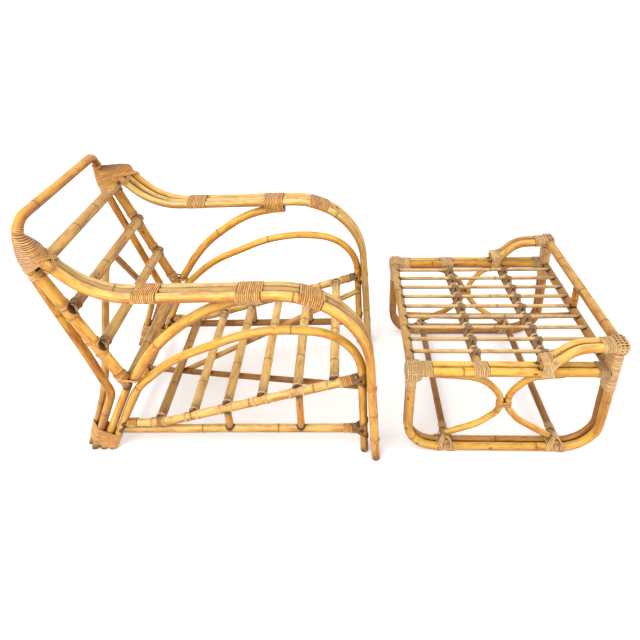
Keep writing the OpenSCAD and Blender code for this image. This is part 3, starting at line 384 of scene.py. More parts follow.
        # Each point gets its painted shade from nearness to other poles, and the pole's share of age and
        # painted shade
        part.add(verts, np.concatenate(quads), np.concatenate(tris), tint=self.age_and_shade,
                 grime=grime(self, verts) * (1 - fields["cut"]), **fields)
        for scar in self.scars:
            self.add_scar(part, *scar)

    def seed_offset(self):
        """Shift that gives each pole its own place in the wood."""
        code = sum(map(ord, self.key))
        return np.array([(code % 97) * 41.0, (code % 89) * 37.0, 0.0])

    def grain(self, s, theta):
        """Place in the wood: two lengths across the pole and one along it."""
        g = np.zeros((len(s), len(theta), 3))
        g[..., 0] = self.r * np.cos(theta)[None]
        g[..., 1] = self.r * np.sin(theta)[None]
        g[..., 2] = np.asarray(s)[:, None]
        return g + self.seed_offset()

    def add_scar(self, part, s0, facing, long=9.0, wide=5.0):
        """Eye-shaped scar at length s0, on the side that faces a direction."""
        a, b = (v[0] for v in self.frames(np.array([s0, s0 + 1.0]))[1:])
        angle = math.atan2(np.dot(facing, b), np.dot(facing, a))
        u = v = np.linspace(-1, 1, 13)
        su, tv = s0 + u * long * 1.5, angle + v * wide * 1.5 / self.r
        d = np.hypot(u[:, None] * 1.5, v[None] * 1.5)
        rise = 0.3 + 0.5 * np.exp(-((d - 1.0) / 0.22) ** 2) - 0.15 * np.exp(-(d / 0.6) ** 2)
        rise = np.where(d > 1.35, -0.5, rise)
        r = self.r * 1.01 + rise
        line = self.line.at(su)[:, None]
        points = line + (a * np.cos(tv)[None, :, None] + b * np.sin(tv)[None, :, None]) * r[..., None]
        rows = len(u)
        top, under = points.reshape(-1, 3), (points - (points - line) * 0.12).reshape(-1, 3)
        index = np.arange(rows * rows).reshape(rows, rows)
        rim = np.concatenate([index[0, :], index[1:, -1], index[-1, -2::-1], index[-2:0:-1, 0]])
        skirt = np.stack([rim, np.roll(rim, -1), np.roll(rim, -1) + rows * rows, rim + rows * rows], -1)
        lid = grid_faces(rows, rows, wrap=False)
        quads = np.concatenate([lid[:, ::-1], lid + rows * rows, skirt])
        grain = self.grain(su, tv).reshape(-1, 3)
        part.add(np.concatenate([top, under]), quads, [], grain=np.tile(grain, (2, 1)), ring=FAR,
                 tint=self.age_and_shade, scar=np.tile(np.exp(-(d / 0.85) ** 4).ravel(), 2))


def pole_samples():
    """Points along all poles, with their radius and owner, for the painted shade where poles meet."""
    points, radii, owner = [], [], []
    for i, pole in enumerate(POLES.values()):
        s = np.arange(0, pole.line.length, 4.0)
        points.append(pole.line.at(s))
        radii.append(np.full(len(s), pole.r))
        owner.append(np.full(len(s), i))
    return np.concatenate(points), np.concatenate(radii), np.concatenate(owner)


def make_contact_shade():
    """Function that tells how near each point of a pole is to another pole, for the painted shade there."""
    points, radii, owner = pole_samples()
    index = {key: i for i, key in enumerate(POLES)}

    def grime(pole, verts):
        result = np.zeros(len(verts))
        mine = owner == index[pole.key]
        for first in range(0, len(verts), 10 * AROUND):
            v = verts[first:first + 10 * AROUND]
            low, high = v.min(0) - CONTACT_SHADE_SEARCH, v.max(0) + CONTACT_SHADE_SEARCH
            near = ~mine & np.all((points > low) & (points < high), axis=1)
            if near.any():
                d = np.linalg.norm(v[:, None] - points[near][None], axis=2) - radii[near][None]
                result[first:first + 10 * AROUND] = np.exp(-np.maximum(d.min(1), 0) / CONTACT_SHADE_FADE)
        return result

    return grime


# Chair: the same paths as the CAD model's

FRAME_Y = FRAME_W / 2
ARM_OUTER_Y = (CHAIR_W - ARM_OUTER_D) / 2
ARM_MIDDLE_Y = ARM_OUTER_Y - (ARM_OUTER_D + ARM_INNER_D) / 2 - GAP - 0.1
ARM_INNER_Y = ARM_MIDDLE_Y - ARM_INNER_D - GAP - 0.1
ARM_LOW_Z = ARM_H - ARM_FALL
ARM_FRONT_X = FRONT_FOOT_X - LEG_RAKE
RISE = deg(RISE_ANGLE)
ARM_TOP_X = -HOOP_TOP_BACK + HOOP_D / 2 + ARM_INNER_D / 2 * math.sin(RISE) + GAP
ARM_SLOPE = ARM_FALL / (ARM_FRONT_X + ARM_LOW_BACK)
JOINT = np.array([-JOINT_BACK, JOINT_Z])
LEAN = deg(POST_LEAN)
POST_DIR = np.array([-math.sin(LEAN), math.cos(LEAN)])
POST_FRONT = np.array([math.cos(LEAN), math.sin(LEAN)])
POST_TOP = JOINT + POST_DIR * POST_LEN
RAKE = math.atan2(171, 320)
LEG_PITCH = LEG_D + GAP + 1
LEG_STEP = LEG_PITCH / math.cos(RAKE)
REAR_FOOT_X = -JOINT_BACK - JOINT_Z * math.tan(RAKE)
LOWER_FOOT_X = REAR_FOOT_X + LEG_STEP
HOOP_FOOT_X = REAR_FOOT_X - LEG_STEP
HOOP_IN = 22
HOOP_Y = FRAME_Y - HOOP_IN
HOOP_TOP_Z = CHAIR_H - HOOP_D / 2
HOOP_BEHIND = math.sqrt(((POST_D + HOOP_D) / 2 + GAP) ** 2 - HOOP_IN ** 2) + 0.6
HOOP_KINK = POST_TOP - POST_FRONT * HOOP_BEHIND + POST_DIR * 22
LEG_IN, LEG_TOP_IN, LEG_TOP_Z = 40, 11, 523
UNDER_ARM = (UPPER_ARCH_D + ARM_INNER_D) / 2 + GAP
RAIL_START_X, SEAT_BEND_X, SEAT_BEND_R, RAIL_BITE = -70, 60, 500, 4
FLOOR_TILT, SLOPE = deg(0.9), deg(SEAT_SLOPE)
RAIL_STACK = (RAIL_D + GAP + 0.1) / math.cos(FLOOR_TILT)
SLAT_STEP = SLAT_REACH / (SLAT_COUNT - 1)
SLAT_X = [FIRST_SLAT_X + i * SLAT_STEP for i in range(SLAT_COUNT)]
ALONG_SEAT = (math.cos(SLOPE), 0, math.sin(SLOPE))
SPACER_X, SPACER_D = (297, 549), 26
BACK_POLE_AT = [JOINT + POST_DIR * (LOW_BACK_POLE + i * BACK_POLE_STEP) + POST_FRONT * BACK_POLE_LEAD
                for i in range(3)]


def arm_z(x):
    """Height of the arms' axes."""
    return ARM_H + (x - ARM_FRONT_X) * ARM_SLOPE


def floor_rail_at(x):
    return FLOOR_RAIL_Z + x * math.tan(FLOOR_TILT)


SEAT_BEND_Z = floor_rail_at(SEAT_BEND_X) + RAIL_STACK
SEAT_CUT = SEAT_BEND_R * math.tan((SLOPE - FLOOR_TILT) / 2)
SEAT_FROM = SEAT_BEND_X - SEAT_CUT * math.cos(FLOOR_TILT)
SEAT_TO = SEAT_BEND_X + SEAT_CUT * math.cos(SLOPE)


def seat_z(x):
    """Height of the seat rail's axis."""
    if x < SEAT_FROM:
        return floor_rail_at(x) + RAIL_STACK
    if x > SEAT_TO:
        return SEAT_BEND_Z + (x - SEAT_BEND_X) * math.tan(SLOPE)
    centre_x = SEAT_FROM - SEAT_BEND_R * math.sin(FLOOR_TILT)
    centre_z = floor_rail_at(SEAT_FROM) + RAIL_STACK + SEAT_BEND_R * math.cos(FLOOR_TILT)
    return centre_z - math.sqrt(SEAT_BEND_R ** 2 - (x - centre_x) ** 2)


def rear_leg_x(z):
    return LOWER_FOOT_X + z * math.tan(RAKE)


def front_inner_x(z):
    return FRONT_FOOT_X - LEG_IN - z * (FRONT_FOOT_X - LEG_IN - ARM_FRONT_X + LEG_TOP_IN) / LEG_TOP_Z


BRACE_END = np.array([front_inner_x(290) + 6, 290])
BRACE_UNDER_Z = seat_z(FIRST_SLAT_X) - (SLAT_D + BRACE_D) / 2 - 1.5
BRACE_RISE = (BRACE_END[1] - BRACE_UNDER_Z) / (BRACE_END[0] - FIRST_SLAT_X)
STRETCHER_Z = ((BRACE_UNDER_Z - BRACE_RISE * (FIRST_SLAT_X - LOWER_FOOT_X))
               / (1 - BRACE_RISE * math.tan(RAKE)))
STRETCHER_AT = np.array([rear_leg_x(STRETCHER_Z), STRETCHER_Z])


FEET = ("floor", "floor")


def across(at, half):
    """Path straight across a piece, through a place (x, z)."""
    return [(at[0], -half, at[1]), (at[0], half, at[1])]


def chair_pole(key, path, bends, d, tone, node=None, **more):
    """Pole along a path in the chair. Its node has the pole's name unless another is given."""
    Pole(key, node or key, rounded(path, bends, CHAIR), d, tone, **more)


def post_line(s, t):
    """Place on a back post's axis, at length t from the joint."""
    p = JOINT + POST_DIR * t
    return np.array([p[0], s * FRAME_Y, p[1]])


def make_back():
    halves = [[(HOOP_FOOT_X, s * FRAME_Y, 0), (-HOOP_KNEE_BACK, s * FRAME_Y, HOOP_KNEE_Z),
               (HOOP_KINK[0], s * HOOP_Y, HOOP_KINK[1]), (-HOOP_TOP_BACK, s * (HOOP_Y - 9), HOOP_TOP_Z)]
              for s in (-1, 1)]
    chair_pole("hoop", halves[0] + halves[1][::-1], [60, 110, HOOP_CORNER_R, HOOP_CORNER_R, 110, 60],
               HOOP_D, "amber", "back_hoop", cuts=FEET, dark=(1.0, 1.0), spread=36, wave=0.8)
    for name, s in SIDES.items():
        chair_pole("post_" + name, [post_line(s, 0), post_line(s, POST_LEN)], [], POST_D, "honey",
                   "back_post_" + name, dark=(0.55, 0.9), rings=[60, 196, 330, 450],
                   scars=[(268, (0.3, -1, 0.3), 7, 4)] if s > 0 else [])
    cope = tuple((post_line(s, 0) + CHAIR, post_line(s, POST_LEN) - post_line(s, 0), POST_D / 2)
                 for s in (-1, 1))
    knots = [(at, (0.5, -0.75, 0.4), 7, 3.5) for at in (150, 172, 60)]
    for p, level, rings, scars in zip(BACK_POLE_AT, ("low", "middle", "top"),
                                      ([310, 455], [255, 500], [240, 390]), ([], knots, [])):
        chair_pole("back_pole_" + level, across(p, FRAME_Y - 6), [], BACK_POLE_D, "tan", cuts=cope,
                   dark=(0.9, 0.9), rings=rings, spread=22, scars=scars)
    chair_pole("seat_rear", across((-JOINT_BACK + 8, JOINT_Z + 18), FRAME_Y - UPPER_ARCH_D / 2 - GAP + 3),
               [], BACK_POLE_D, "tan", "seat_rear_pole", dark=(0.9, 0.9), rings=[170, 420])
    meet = (BACK_POLE_D + REAR_ARCH_D) / 2
    crown = BACK_POLE_AT[1] - meet * np.array([math.sin(deg(40)), math.cos(deg(40))]) - GAP
    halves = [[(HOOP_FOOT_X - 22, s * (FRAME_Y - 23), 0),
               (-HOOP_KNEE_BACK - 36, s * (FRAME_Y - 30), HOOP_KNEE_Z - 2), (crown[0], y, crown[1])]
              for s, y in ((-1, -15), (1, 60))]
    chair_pole("rear_arch", halves[0] + halves[1][::-1], [200, 70, 70, 200], REAR_ARCH_D, "pale",
               cuts=FEET, dark=(0.9, 0.9), wave=0.3)


def make_sides():
    arm_ends = {"outer": (ARM_OUTER_Y, ARM_OUTER_D, 45, 0, "honey"),
                "middle": (ARM_MIDDLE_Y, ARM_INNER_D, 32, ARM_TWIST, "straw"),
                "inner": (ARM_INNER_Y, ARM_INNER_D, 30, 2 * ARM_TWIST, "straw")}
    level = math.atan(ARM_SLOPE)
    for name, s in SIDES.items():
        for place, (y, d, short, twist, tone) in arm_ends.items():
            far = twist / math.sin(level + RISE)
            low = (-ARM_LOW_BACK - far * math.cos(level), ARM_LOW_Z - far * math.sin(level))
            x = ARM_TOP_X + short - twist * math.sin(RISE)
            path = [(x, low[1] + (low[0] - x) * math.tan(RISE)), low, (ARM_FRONT_X, ARM_H),
                    (FRONT_FOOT_X, 0)]
            chair_pole(f"arm_{place}_{name}", upright(path, s * y), [ARM_BACK_R, ARM_FRONT_R], d, tone,
                       cuts=("round", "floor"), dark=(0.6, 1.0), spread=24, wave=0.3)
        upper = [JOINT + POST_FRONT * 30 + POST_DIR * 12, (125, 514),
                 (350, arm_z(350) - UNDER_ARM), (472, arm_z(472) - UNDER_ARM)]
        chair_pole("upper_arch_" + name, upright(upper, s * FRAME_Y), [610, 400], UPPER_ARCH_D, "gold",
                   dark=(0.8, 0.5), wave=0.3)
        lower = [(LOWER_FOOT_X, 0), (LOWER_FOOT_X + 300 * math.tan(RAKE), 300), (144, 426), (459, 562),
                 (ARM_FRONT_X - LEG_TOP_IN, LEG_TOP_Z), (FRONT_FOOT_X - LEG_IN, 0)]
        chair_pole("lower_arch_" + name, upright(lower, s * FRAME_Y), [300, 500, 515, 170], LEG_D, "gold",
                   cuts=FEET, dark=(1.0, 1.0), spread=24, wave=0.3)
        top = JOINT + np.array([math.sin(RAKE), math.cos(RAKE)]) * 4
        chair_pole("rear_leg_" + name, upright([top, (REAR_FOOT_X, 0)], s * FRAME_Y), [], LEG_D, "gold",
                   cuts=("round", "floor"), dark=(0.3, 1.0))


def make_seat():
    for name, s in SIDES.items():
        y = s * FRAME_Y
        rear = RAIL_START_X - RAIL_BITE
        front = front_inner_x(seat_z(ARM_FRONT_X)) - LEG_D / 2 + RAIL_BITE
        chair_pole("seat_rail_" + name,
                   upright([(rear, seat_z(rear)), (SEAT_BEND_X, SEAT_BEND_Z), (front, seat_z(front))], y),
                   [SEAT_BEND_R], RAIL_D, "pale", dark=(0.8, 0.9), rings=[250, 470, 700], wave=0.3)
        rear = rear_leg_x(FLOOR_RAIL_Z) + LEG_D / 2 / math.cos(RAKE) - RAIL_BITE
        front = front_inner_x(FLOOR_RAIL_Z) - LEG_D / 2 + RAIL_BITE
        chair_pole("floor_rail_" + name, upright([(x, floor_rail_at(x)) for x in (rear, front)], y), [],
                   RAIL_D, "pale", dark=(0.5, 0.95), rings=[290, 560], wave=0.3, spread=26)
        for i, x in enumerate(SPACER_X):
            chair_pole(f"spacer_{i}_{name}", upright([(x, floor_rail_at(x) + 8), (x, seat_z(x) - 8)], y),
                       [], SPACER_D, "honey", "spacer_posts", dark=(0.4, 1.0), rings=[])
    rings = [[175, 430], [150, 380, 560], [210, 455], [190, 400], [165, 385], [95, 270, 470]]
    for i, x in enumerate(SLAT_X):
        cope = tuple((CHAIR + (x, s * FRAME_Y, seat_z(x)), ALONG_SEAT, RAIL_D / 2) for s in (-1, 1))
        chair_pole(f"slat_{i}", across((x, seat_z(x)), FRAME_Y - RAIL_D / 2 + 4), [], SLAT_D, "slat",
                   "seat_slats", cuts=cope, dark=(1.0, 1.0), rings=rings[i], spread=28)
    chair_pole("rear_stretcher", across(STRETCHER_AT, FRAME_Y - LEG_D / 2 - GAP), [], BRACE_D, "amber")
    brace_y = FRAME_Y - (LEG_D + BRACE_D) / 2 - GAP - 0.5
    start = np.array([STRETCHER_AT[0], 50, STRETCHER_AT[1]])
    end = np.array([BRACE_END[0], -brace_y, BRACE_END[1]])
    chair_pole("long_brace", [start, end], [], BRACE_D, "tan", dark=(1.0, 0.8))
    chair_pole("branch_brace", [start + (end - start) * 0.2, (BRACE_END[0], brace_y, BRACE_END[1] + 10)],
               [], BRACE_D - 1, "tan", dark=(1.0, 0.8))


# Ottoman: the same paths as the CAD model's

PAIR_PITCH = OTTOMAN_D + GAP + 0.1
OUTER_Y = (OTTOMAN_W - OTTOMAN_D) / 2
INNER_Y = OUTER_Y - PAIR_PITCH
PAIR_Y = (OUTER_Y + INNER_Y) / 2
CLEAR_Y = INNER_Y - OTTOMAN_D / 2 - GAP
FLOOR_Z = OTTOMAN_D / 2
LEG_END_Z = RAISED_Z - OTTOMAN_D / 2 - GAP - 1.6
FRONT_LEAN = math.atan2(LOOP_LEAN, LEG_END_Z - FLOOR_Z)
RAISED_AT = (OTTOMAN_LEN - LOOP_LEAN, RAISED_Z)
RUNNER_TOP_Z = OTTOMAN_D + GAP + STRETCHER_D / 2
DECK_POLE_X = (212, 434)
ROD_Z = DECK_Z + 10
DECK_POLE_Z = ROD_Z - (ROD_D + DECK_POLE_D) / 2 - GAP
ROD_REACH = 264
ROD_STEP = 2 * ROD_REACH / (ROD_COUNT - 1)
ROD_Y = [-ROD_REACH + i * ROD_STEP for i in range(ROD_COUNT)]
UNDER_POLE_Z = DECK_POLE_Z - (DECK_POLE_D + DECK_BRACE_D) / 2 - GAP
RAISED_ARM_X = 392
SCROLL_TIE = np.array([312, 215])
SCROLL_HALF = (SCROLL_D + GAP) / 2
SCROLL_TOP = DECK_Z - math.sqrt(((OTTOMAN_D + SCROLL_D) / 2 + GAP) ** 2 - (PAIR_PITCH / 2) ** 2)
RISE_Z = DECK_Z + PAIR_PITCH


def front_leg_x(z):
    return OTTOMAN_LEN - (z - FLOOR_Z) * math.tan(FRONT_LEAN)


REAR_RAIL_AT = (-REAR_LEAN, DECK_Z - 1)
FRONT_RAIL_AT = (front_leg_x(DECK_Z), DECK_Z - 4)
RAISED_ARM = [(RAISED_ARM_X, RISE_Z + 0.2), (RAISED_ARM_X + 38, RISE_Z + 2),
              (RAISED_ARM_X + 38 + (RAISED_Z - RISE_Z - 10) / math.tan(deg(48)), RAISED_Z - 8),
              (OTTOMAN_LEN - LOOP_LEAN + OTTOMAN_D / 2, RAISED_Z)]


def ottoman_pole(key, path, bends, d, tone, node=None, **more):
    """Pole along a path in the ottoman. Its node has the pole's name unless another is given."""
    Pole(key, "ottoman_" + (node or key), rounded(path, bends, OTTOMAN), d, tone, **more)


def make_ottoman_sides():
    near = (0, -1, 0.3)
    loop = [(-REAR_LEAN, DECK_Z - OTTOMAN_D / 2 - GAP - 0.4), (0, FLOOR_Z), (OTTOMAN_LEN, FLOOR_Z),
            (OTTOMAN_LEN - LOOP_LEAN, LEG_END_Z)]
    rail = [(-REAR_LEAN - OTTOMAN_D / 2, DECK_Z), (front_leg_x(DECK_Z) - OTTOMAN_D / 2 + 4, DECK_Z)]
    x, z = SCROLL_TIE
    scrolls = {"rear": ([(62, SCROLL_TOP), (230, SCROLL_TOP - 14), (x - SCROLL_HALF, z + 33),
                         (x - SCROLL_HALF, z - 36), (240, 119), (STRETCHER_X[0] - 4, 68)],
                        [140, 90, 64, 150]),
               "front": ([(482, SCROLL_TOP), (376, SCROLL_TOP - 11), (x + SCROLL_HALF, z + 52),
                          (x + SCROLL_HALF, z - 12), (374, 139), (STRETCHER_X[1] - 20, 56)],
                         [66, 95, 75, 130])}
    for name, s in SIDES.items():
        scars = [(90, (-0.7, -1, 0)), (235, (-0.6, -1, 0)), (320, (-0.4, -1, 0.2)), (590, near),
                 (980, (0.8, -1, 0))]
        for place, y, tone in (("outer", OUTER_Y, "gold"), ("inner", INNER_Y, "honey")):
            ottoman_pole(f"loop_{place}_{name}", upright(loop, s * y), [LOOP_R, LOOP_R], OTTOMAN_D, tone,
                         scars=scars if s < 0 and place == "outer" else [], wave=0.2)
        for place, y, tone in (("outer", OUTER_Y, "gold"), ("inner", INNER_Y, "pale")):
            scars = [(400, near)] if s < 0 and place == "outer" else [(270, (0, -1, 0.5))] if s > 0 else []
            ottoman_pole(f"side_rail_{place}_{name}", upright(rail, s * y), [], OTTOMAN_D, tone,
                         "side_rails_" + name, scars=scars, wave=0.2)
            ottoman_pole(f"raised_arm_{place}_{name}", upright(RAISED_ARM, s * y), [60, 90], OTTOMAN_D,
                         "honey", "raised_arms", dark=(0.5, 0.6))
        for place, (path, bends) in scrolls.items():
            ottoman_pole(f"scroll_{place}_{name}", upright(path, s * PAIR_Y), bends, SCROLL_D, "gold",
                         "scrolls_" + name, dark=(0.3, 0.7), wave=0.2)


def make_ottoman_deck():
    for key, at, tone, rings in (("rear_rail", REAR_RAIL_AT, "pale", [190, 420]),
                                 ("front_rail", FRONT_RAIL_AT, "pale", [250, 460]),
                                 ("raised_rail", RAISED_AT, "honey", [75, 260, 480])):
        ottoman_pole(key, across(at, CLEAR_Y), [], CROSS_RAIL_D, tone, rings=rings)
    a, b = (np.array([at[0], 0, at[1]]) for at in (FRONT_RAIL_AT, RAISED_AT))
    reach = unit(b - a) * (CROSS_RAIL_D / 2)
    ottoman_pole("middle_post", [a + reach, b - reach], [], MIDDLE_POST_D, "honey",
                 cuts=tuple((OTTOMAN + p, (0, 1, 0), CROSS_RAIL_D / 2) for p in (a, b)), rings=[30])
    for i, x in enumerate(STRETCHER_X):
        ottoman_pole(f"floor_stretcher_{i}", across((x, RUNNER_TOP_Z), OUTER_Y + 8), [], STRETCHER_D, "tan",
                     "floor_stretchers", dark=(0.8, 0.8))
    for i, x in enumerate(DECK_POLE_X):
        ottoman_pole(f"deck_pole_{i}", across((x, DECK_POLE_Z), CLEAR_Y + 3), [], DECK_POLE_D, "tan",
                     "deck_poles", dark=(0.6, 0.6))
    drop = (CROSS_RAIL_D + DECK_BRACE_D) / 2 + GAP
    brace = [(REAR_RAIL_AT[0] - 10, REAR_RAIL_AT[1] - drop - 0.6), (DECK_POLE_X[0], UNDER_POLE_Z - 0.6),
             (DECK_POLE_X[1], UNDER_POLE_Z - 0.6), (FRONT_RAIL_AT[0] + 10, FRONT_RAIL_AT[1] - drop - 0.2)]
    ottoman_pole("deck_brace", upright(brace, 0), [400, 400], DECK_BRACE_D, "tan")
    cope = tuple((OTTOMAN + (at[0], 0, at[1]), (0, 1, 0), CROSS_RAIL_D / 2)
                 for at in (REAR_RAIL_AT, FRONT_RAIL_AT))
    for i, y in enumerate(ROD_Y):
        ottoman_pole(f"rod_{i}", [(REAR_RAIL_AT[0] + 13, y, ROD_Z), (FRONT_RAIL_AT[0] - 11, y, ROD_Z)], [],
                     ROD_D, "rod", "deck_rods", cuts=cope, dark=(0.4, 0.5), wave=0.3)


# Materials


class Tree:
    """Short forms for making a material's nodes."""

    def __init__(self, name):
        self.material = bpy.data.materials.new(name)
        self.material.use_nodes = True
        self.tree = self.material.node_tree
        self.tree.nodes.clear()

    def node(self, kind, inputs=(), **settings):
        n = self.tree.nodes.new(kind)
        for k, v in settings.items():
            setattr(n, k, v)
        for k, v in dict(inputs).items():
            if isinstance(v, bpy.types.NodeSocket):
                self.tree.links.new(v, n.inputs[k])
            else:
                n.inputs[k].default_value = v
        return n

    def field(self, name, out="Fac"):
        return self.node("ShaderNodeAttribute", attribute_name=name).outputs[out]

    def math(self, operation, a, b=0.0, c=0.0):
        return self.node("ShaderNodeMath", {0: a, 1: b, 2: c}, operation=operation).outputs[0]

    def noise(self, vector, scale, detail=3.0, rough=0.55, offset=(0, 0, 0)):
        moved = self.node("ShaderNodeMapping", {"Vector": vector, "Scale": scale, "Location": offset})
        return self.node("ShaderNodeTexNoise", {"Vector": moved.outputs[0], "Scale": 1.0, "Detail": detail,
                                                "Roughness": rough}).outputs["Fac"]

    def times(self, a, b):
        return self.math("MULTIPLY", a, b)

    def span(self, value, low, high, a=0.0, b=1.0):
        """Value mapped smoothly from low..high to a..b, and held there outside."""
        return self.node("ShaderNodeMapRange", {"Value": value, "From Min": low, "From Max": high,
                                                "To Min": a, "To Max": b},
                         interpolation_type="SMOOTHSTEP").outputs["Result"]

    def mix(self, share, a, b, blend="MIX"):
        """Colour a mixed with b by a share."""
        return self.node("ShaderNodeMix", {0: share, 6: a, 7: b}, data_type="RGBA",
                         blend_type=blend).outputs[2]

    def finish(self, colour, rough, height, depth, **constants):
        bump = self.node("ShaderNodeBump", {"Height": height, "Strength": 1.0, "Distance": depth})
        shader = self.node("ShaderNodeBsdfPrincipled", {"Base Color": colour, "Roughness": rough,
                                                        "Normal": bump.outputs[0], **constants})
        out = self.node("ShaderNodeOutputMaterial")
        self.tree.links.new(shader.outputs[0], out.inputs[0])
        return self.material


# Pale, middle and deep colour of each tone, and its painted highlight colour for faces turned upward
TONES = {
    "honey": ("EBBA4F", "DD952B", "8D4507", "F5D084"),
    "gold": ("EBBD4B", "DD9C2B", "924A06", "F5C868"),
    "amber": ("DCA42A", "C47913", "723403", "E4AC58"),
    "straw": ("DEBC6B", "CB9841", "855017", "EBCB90"),
    "pale": ("DFB756", "CF993C", "85480E", "F2CE8C"),
    "tan": ("E5B351", "C68B35", "723F0F", "D0AA70"),
    "slat": ("F9CB5C", "D89E3D", "7D4A13", "E6C288"),
    "rod": ("D8B879", "C79754", "7A481D", "DFC08C"),
}
CANES = {
    "golden": ("F2C068", "DE9A42", "965812"),
    "light": ("F2D29A", "E4B670", "AC7438"),
}
# Stain colour (also the painted shade of the sleeves under windings), a dark brown for cut pores and for
# painted shade, cut pith, and a near black for painted shade where poles meet
STAIN_AND_SHADE, PORE_AND_SHADE_BROWN, PITH, CONTACT_SHADE_DARK = (srgb(c) for c in ("4B2C1A", "6E3C14", "C79A62", "2E170A"))


def rattan(tone):
    """Varnished rattan: long fibres, blotches, dark flecks, node rings and stained ends, with painted
    highlight on faces turned upward, painted shade on faces turned downward and where poles meet, and each
    pole browner by its age and painted shade.
    """
    pale, middle, deep, top_highlight = (srgb(c) for c in TONES[tone])
    t = Tree("rattan_" + tone)
    g = t.field("grain", "Vector")
    streak = t.noise(g, (0.55, 0.55, 0.012), 5.0, 0.6)
    broad = t.noise(g, (0.05, 0.05, 0.009), 2.0)
    blotch = t.noise(g, (0.09, 0.09, 0.03), 3.0, 0.6, (7, 3, 1))
    fleck = t.noise(g, (0.42, 0.42, 0.10), 2.0, 0.5, (3, 9, 5))
    colour = t.mix(t.span(streak, 0.30, 0.62), deep, middle)
    colour = t.mix(t.times(t.span(broad, 0.36, 0.62), 0.75), colour, pale)
    colour = t.mix(t.span(blotch, 0.52, 0.74, 0.0, 0.55), colour, deep)
    normal = t.node("ShaderNodeNewGeometry").outputs["Normal"]
    facing = t.node("ShaderNodeSeparateXYZ", {0: normal}).outputs[2]
    # Painted highlight: faces turned upward mixed towards the lighter top colour, patchy by the blotches
    top_highlight_share = t.times(t.span(facing, 0.1, 0.95), t.span(blotch, 0.65, 0.35, 0.22, 0.62))
    colour = t.mix(top_highlight_share, colour, top_highlight)
    # Painted shade: faces turned downward mixed towards the deep colour
    colour = t.mix(t.span(facing, 0.4, -0.6, 0.0, 0.8), colour, deep)
    # Each pole browner by its share of age and painted shade
    colour = t.mix(t.field("tint"), colour, AGED_AND_SHADED, "MULTIPLY")
    colour = t.mix(t.span(fleck, 0.70, 0.78, 0.0, 0.7), colour, STAIN_AND_SHADE)
    ring = t.field("ring")
    wander = t.noise(g, (0.25, 0.25, 0.25), 1.0, 0.5)
    line = t.span(t.math("MULTIPLY_ADD", wander, 1.2, ring), 1.0, 2.4, 0.85, 0.0)
    halo = t.span(ring, 0.0, 9.0, 0.35, 0.0)
    colour = t.mix(halo, colour, deep)
    colour = t.mix(line, colour, STAIN_AND_SHADE)
    # Painted shade where poles meet: dark brown near another pole, near black closer in
    grime = t.times(t.field("grime"), t.span(blotch, 0.3, 0.7, 0.55, 0.95))
    colour = t.mix(grime, colour, PORE_AND_SHADE_BROWN)
    colour = t.mix(t.span(t.field("grime"), 0.22, 0.66, 0.0, 0.9), colour, CONTACT_SHADE_DARK)
    stain = t.times(t.field("stain"), t.span(t.noise(g, (0.12, 0.12, 0.07), 3.0), 0.3, 0.6, 0.35, 1.0))
    colour = t.mix(stain, colour, STAIN_AND_SHADE)
    colour = t.mix(t.times(t.field("scar"), 0.92), colour, STAIN_AND_SHADE)
    pores = t.span(t.noise(g, (1.6, 1.6, 0.2), 2.0), 0.45, 0.65)
    wood = t.mix(pores, PITH, PORE_AND_SHADE_BROWN)
    cut = t.field("cut")
    colour = t.mix(t.times(cut, t.span(stain, 0.0, 1.0, 1.0, 0.25)), colour, wood)
    rough = t.math("ADD", t.span(streak, 0.3, 0.7, 0.26, 0.42), t.times(cut, 0.35))
    height = t.math("ADD", streak, t.times(blotch, 0.6))
    return t.finish(colour, rough, height, 0.00025, **{"Coat Weight": 0.12, "Coat Roughness": 0.2,
                                                      "Specular IOR Level": 0.35})


def cane_material(tone):
    """Split cane: fine fibres along each strand, its crossings darker, and its edges darker as painted
    shade in the grooves between strands.
    """
    pale, middle, deep = (srgb(c) for c in CANES[tone])
    t = Tree("cane_" + tone)
    g = t.field("grain", "Vector")
    fibre = t.noise(g, (1.4, 1.4, 0.02), 4.0, 0.6)
    blotch = t.noise(g, (0.1, 0.1, 0.04), 3.0, 0.6)
    colour = t.mix(t.span(fibre, 0.32, 0.62), deep, middle)
    colour = t.mix(t.times(t.span(blotch, 0.35, 0.65), 0.7), colour, pale)
    colour = t.mix(t.span(t.field("tint"), 0.0, 1.0, 0.0, 0.45), colour, deep)
    # Painted shade: each strand's edges darker, for the shade in the grooves between strands
    colour = t.mix(t.span(t.field("edge"), 0.72, 1.0, 0.0, 0.85), colour, PORE_AND_SHADE_BROWN)
    # Stain, and the painted shade of the dark sleeves under windings
    colour = t.mix(t.times(t.field("stain"), t.span(blotch, 0.3, 0.6, 0.4, 1.0)), colour, STAIN_AND_SHADE)
    return t.finish(colour, t.span(fibre, 0.3, 0.7, 0.32, 0.5), fibre, 0.00018,
                    **{"Coat Weight": 0.25, "Coat Roughness": 0.25})


# Cane

# Section of a strand, in shares of its width and of its thickness
SECTION = np.array([(-0.5, 0), (-0.46, 0.55), (-0.25, 0.9), (0, 1), (0.25, 0.9), (0.46, 0.55), (0.5, 0),
                    (0, -0.15)])
# Space between a pole and the loop round it, and how far from its origin a loop looks for its poles
PAD, SEARCH = 0.35, 130
# Least and greatest width of a winding's turns
TURN_WIDTHS = (2.2, 9.0)
cane_rng = np.random.default_rng(41)


def square_to(v, out):
    """Unit directions of v, square to the unit directions out."""
    v = v - out * np.einsum("ij,ij->i", v, out)[:, None]
    return v / (np.linalg.norm(v, axis=1, keepdims=True) + 1e-9)


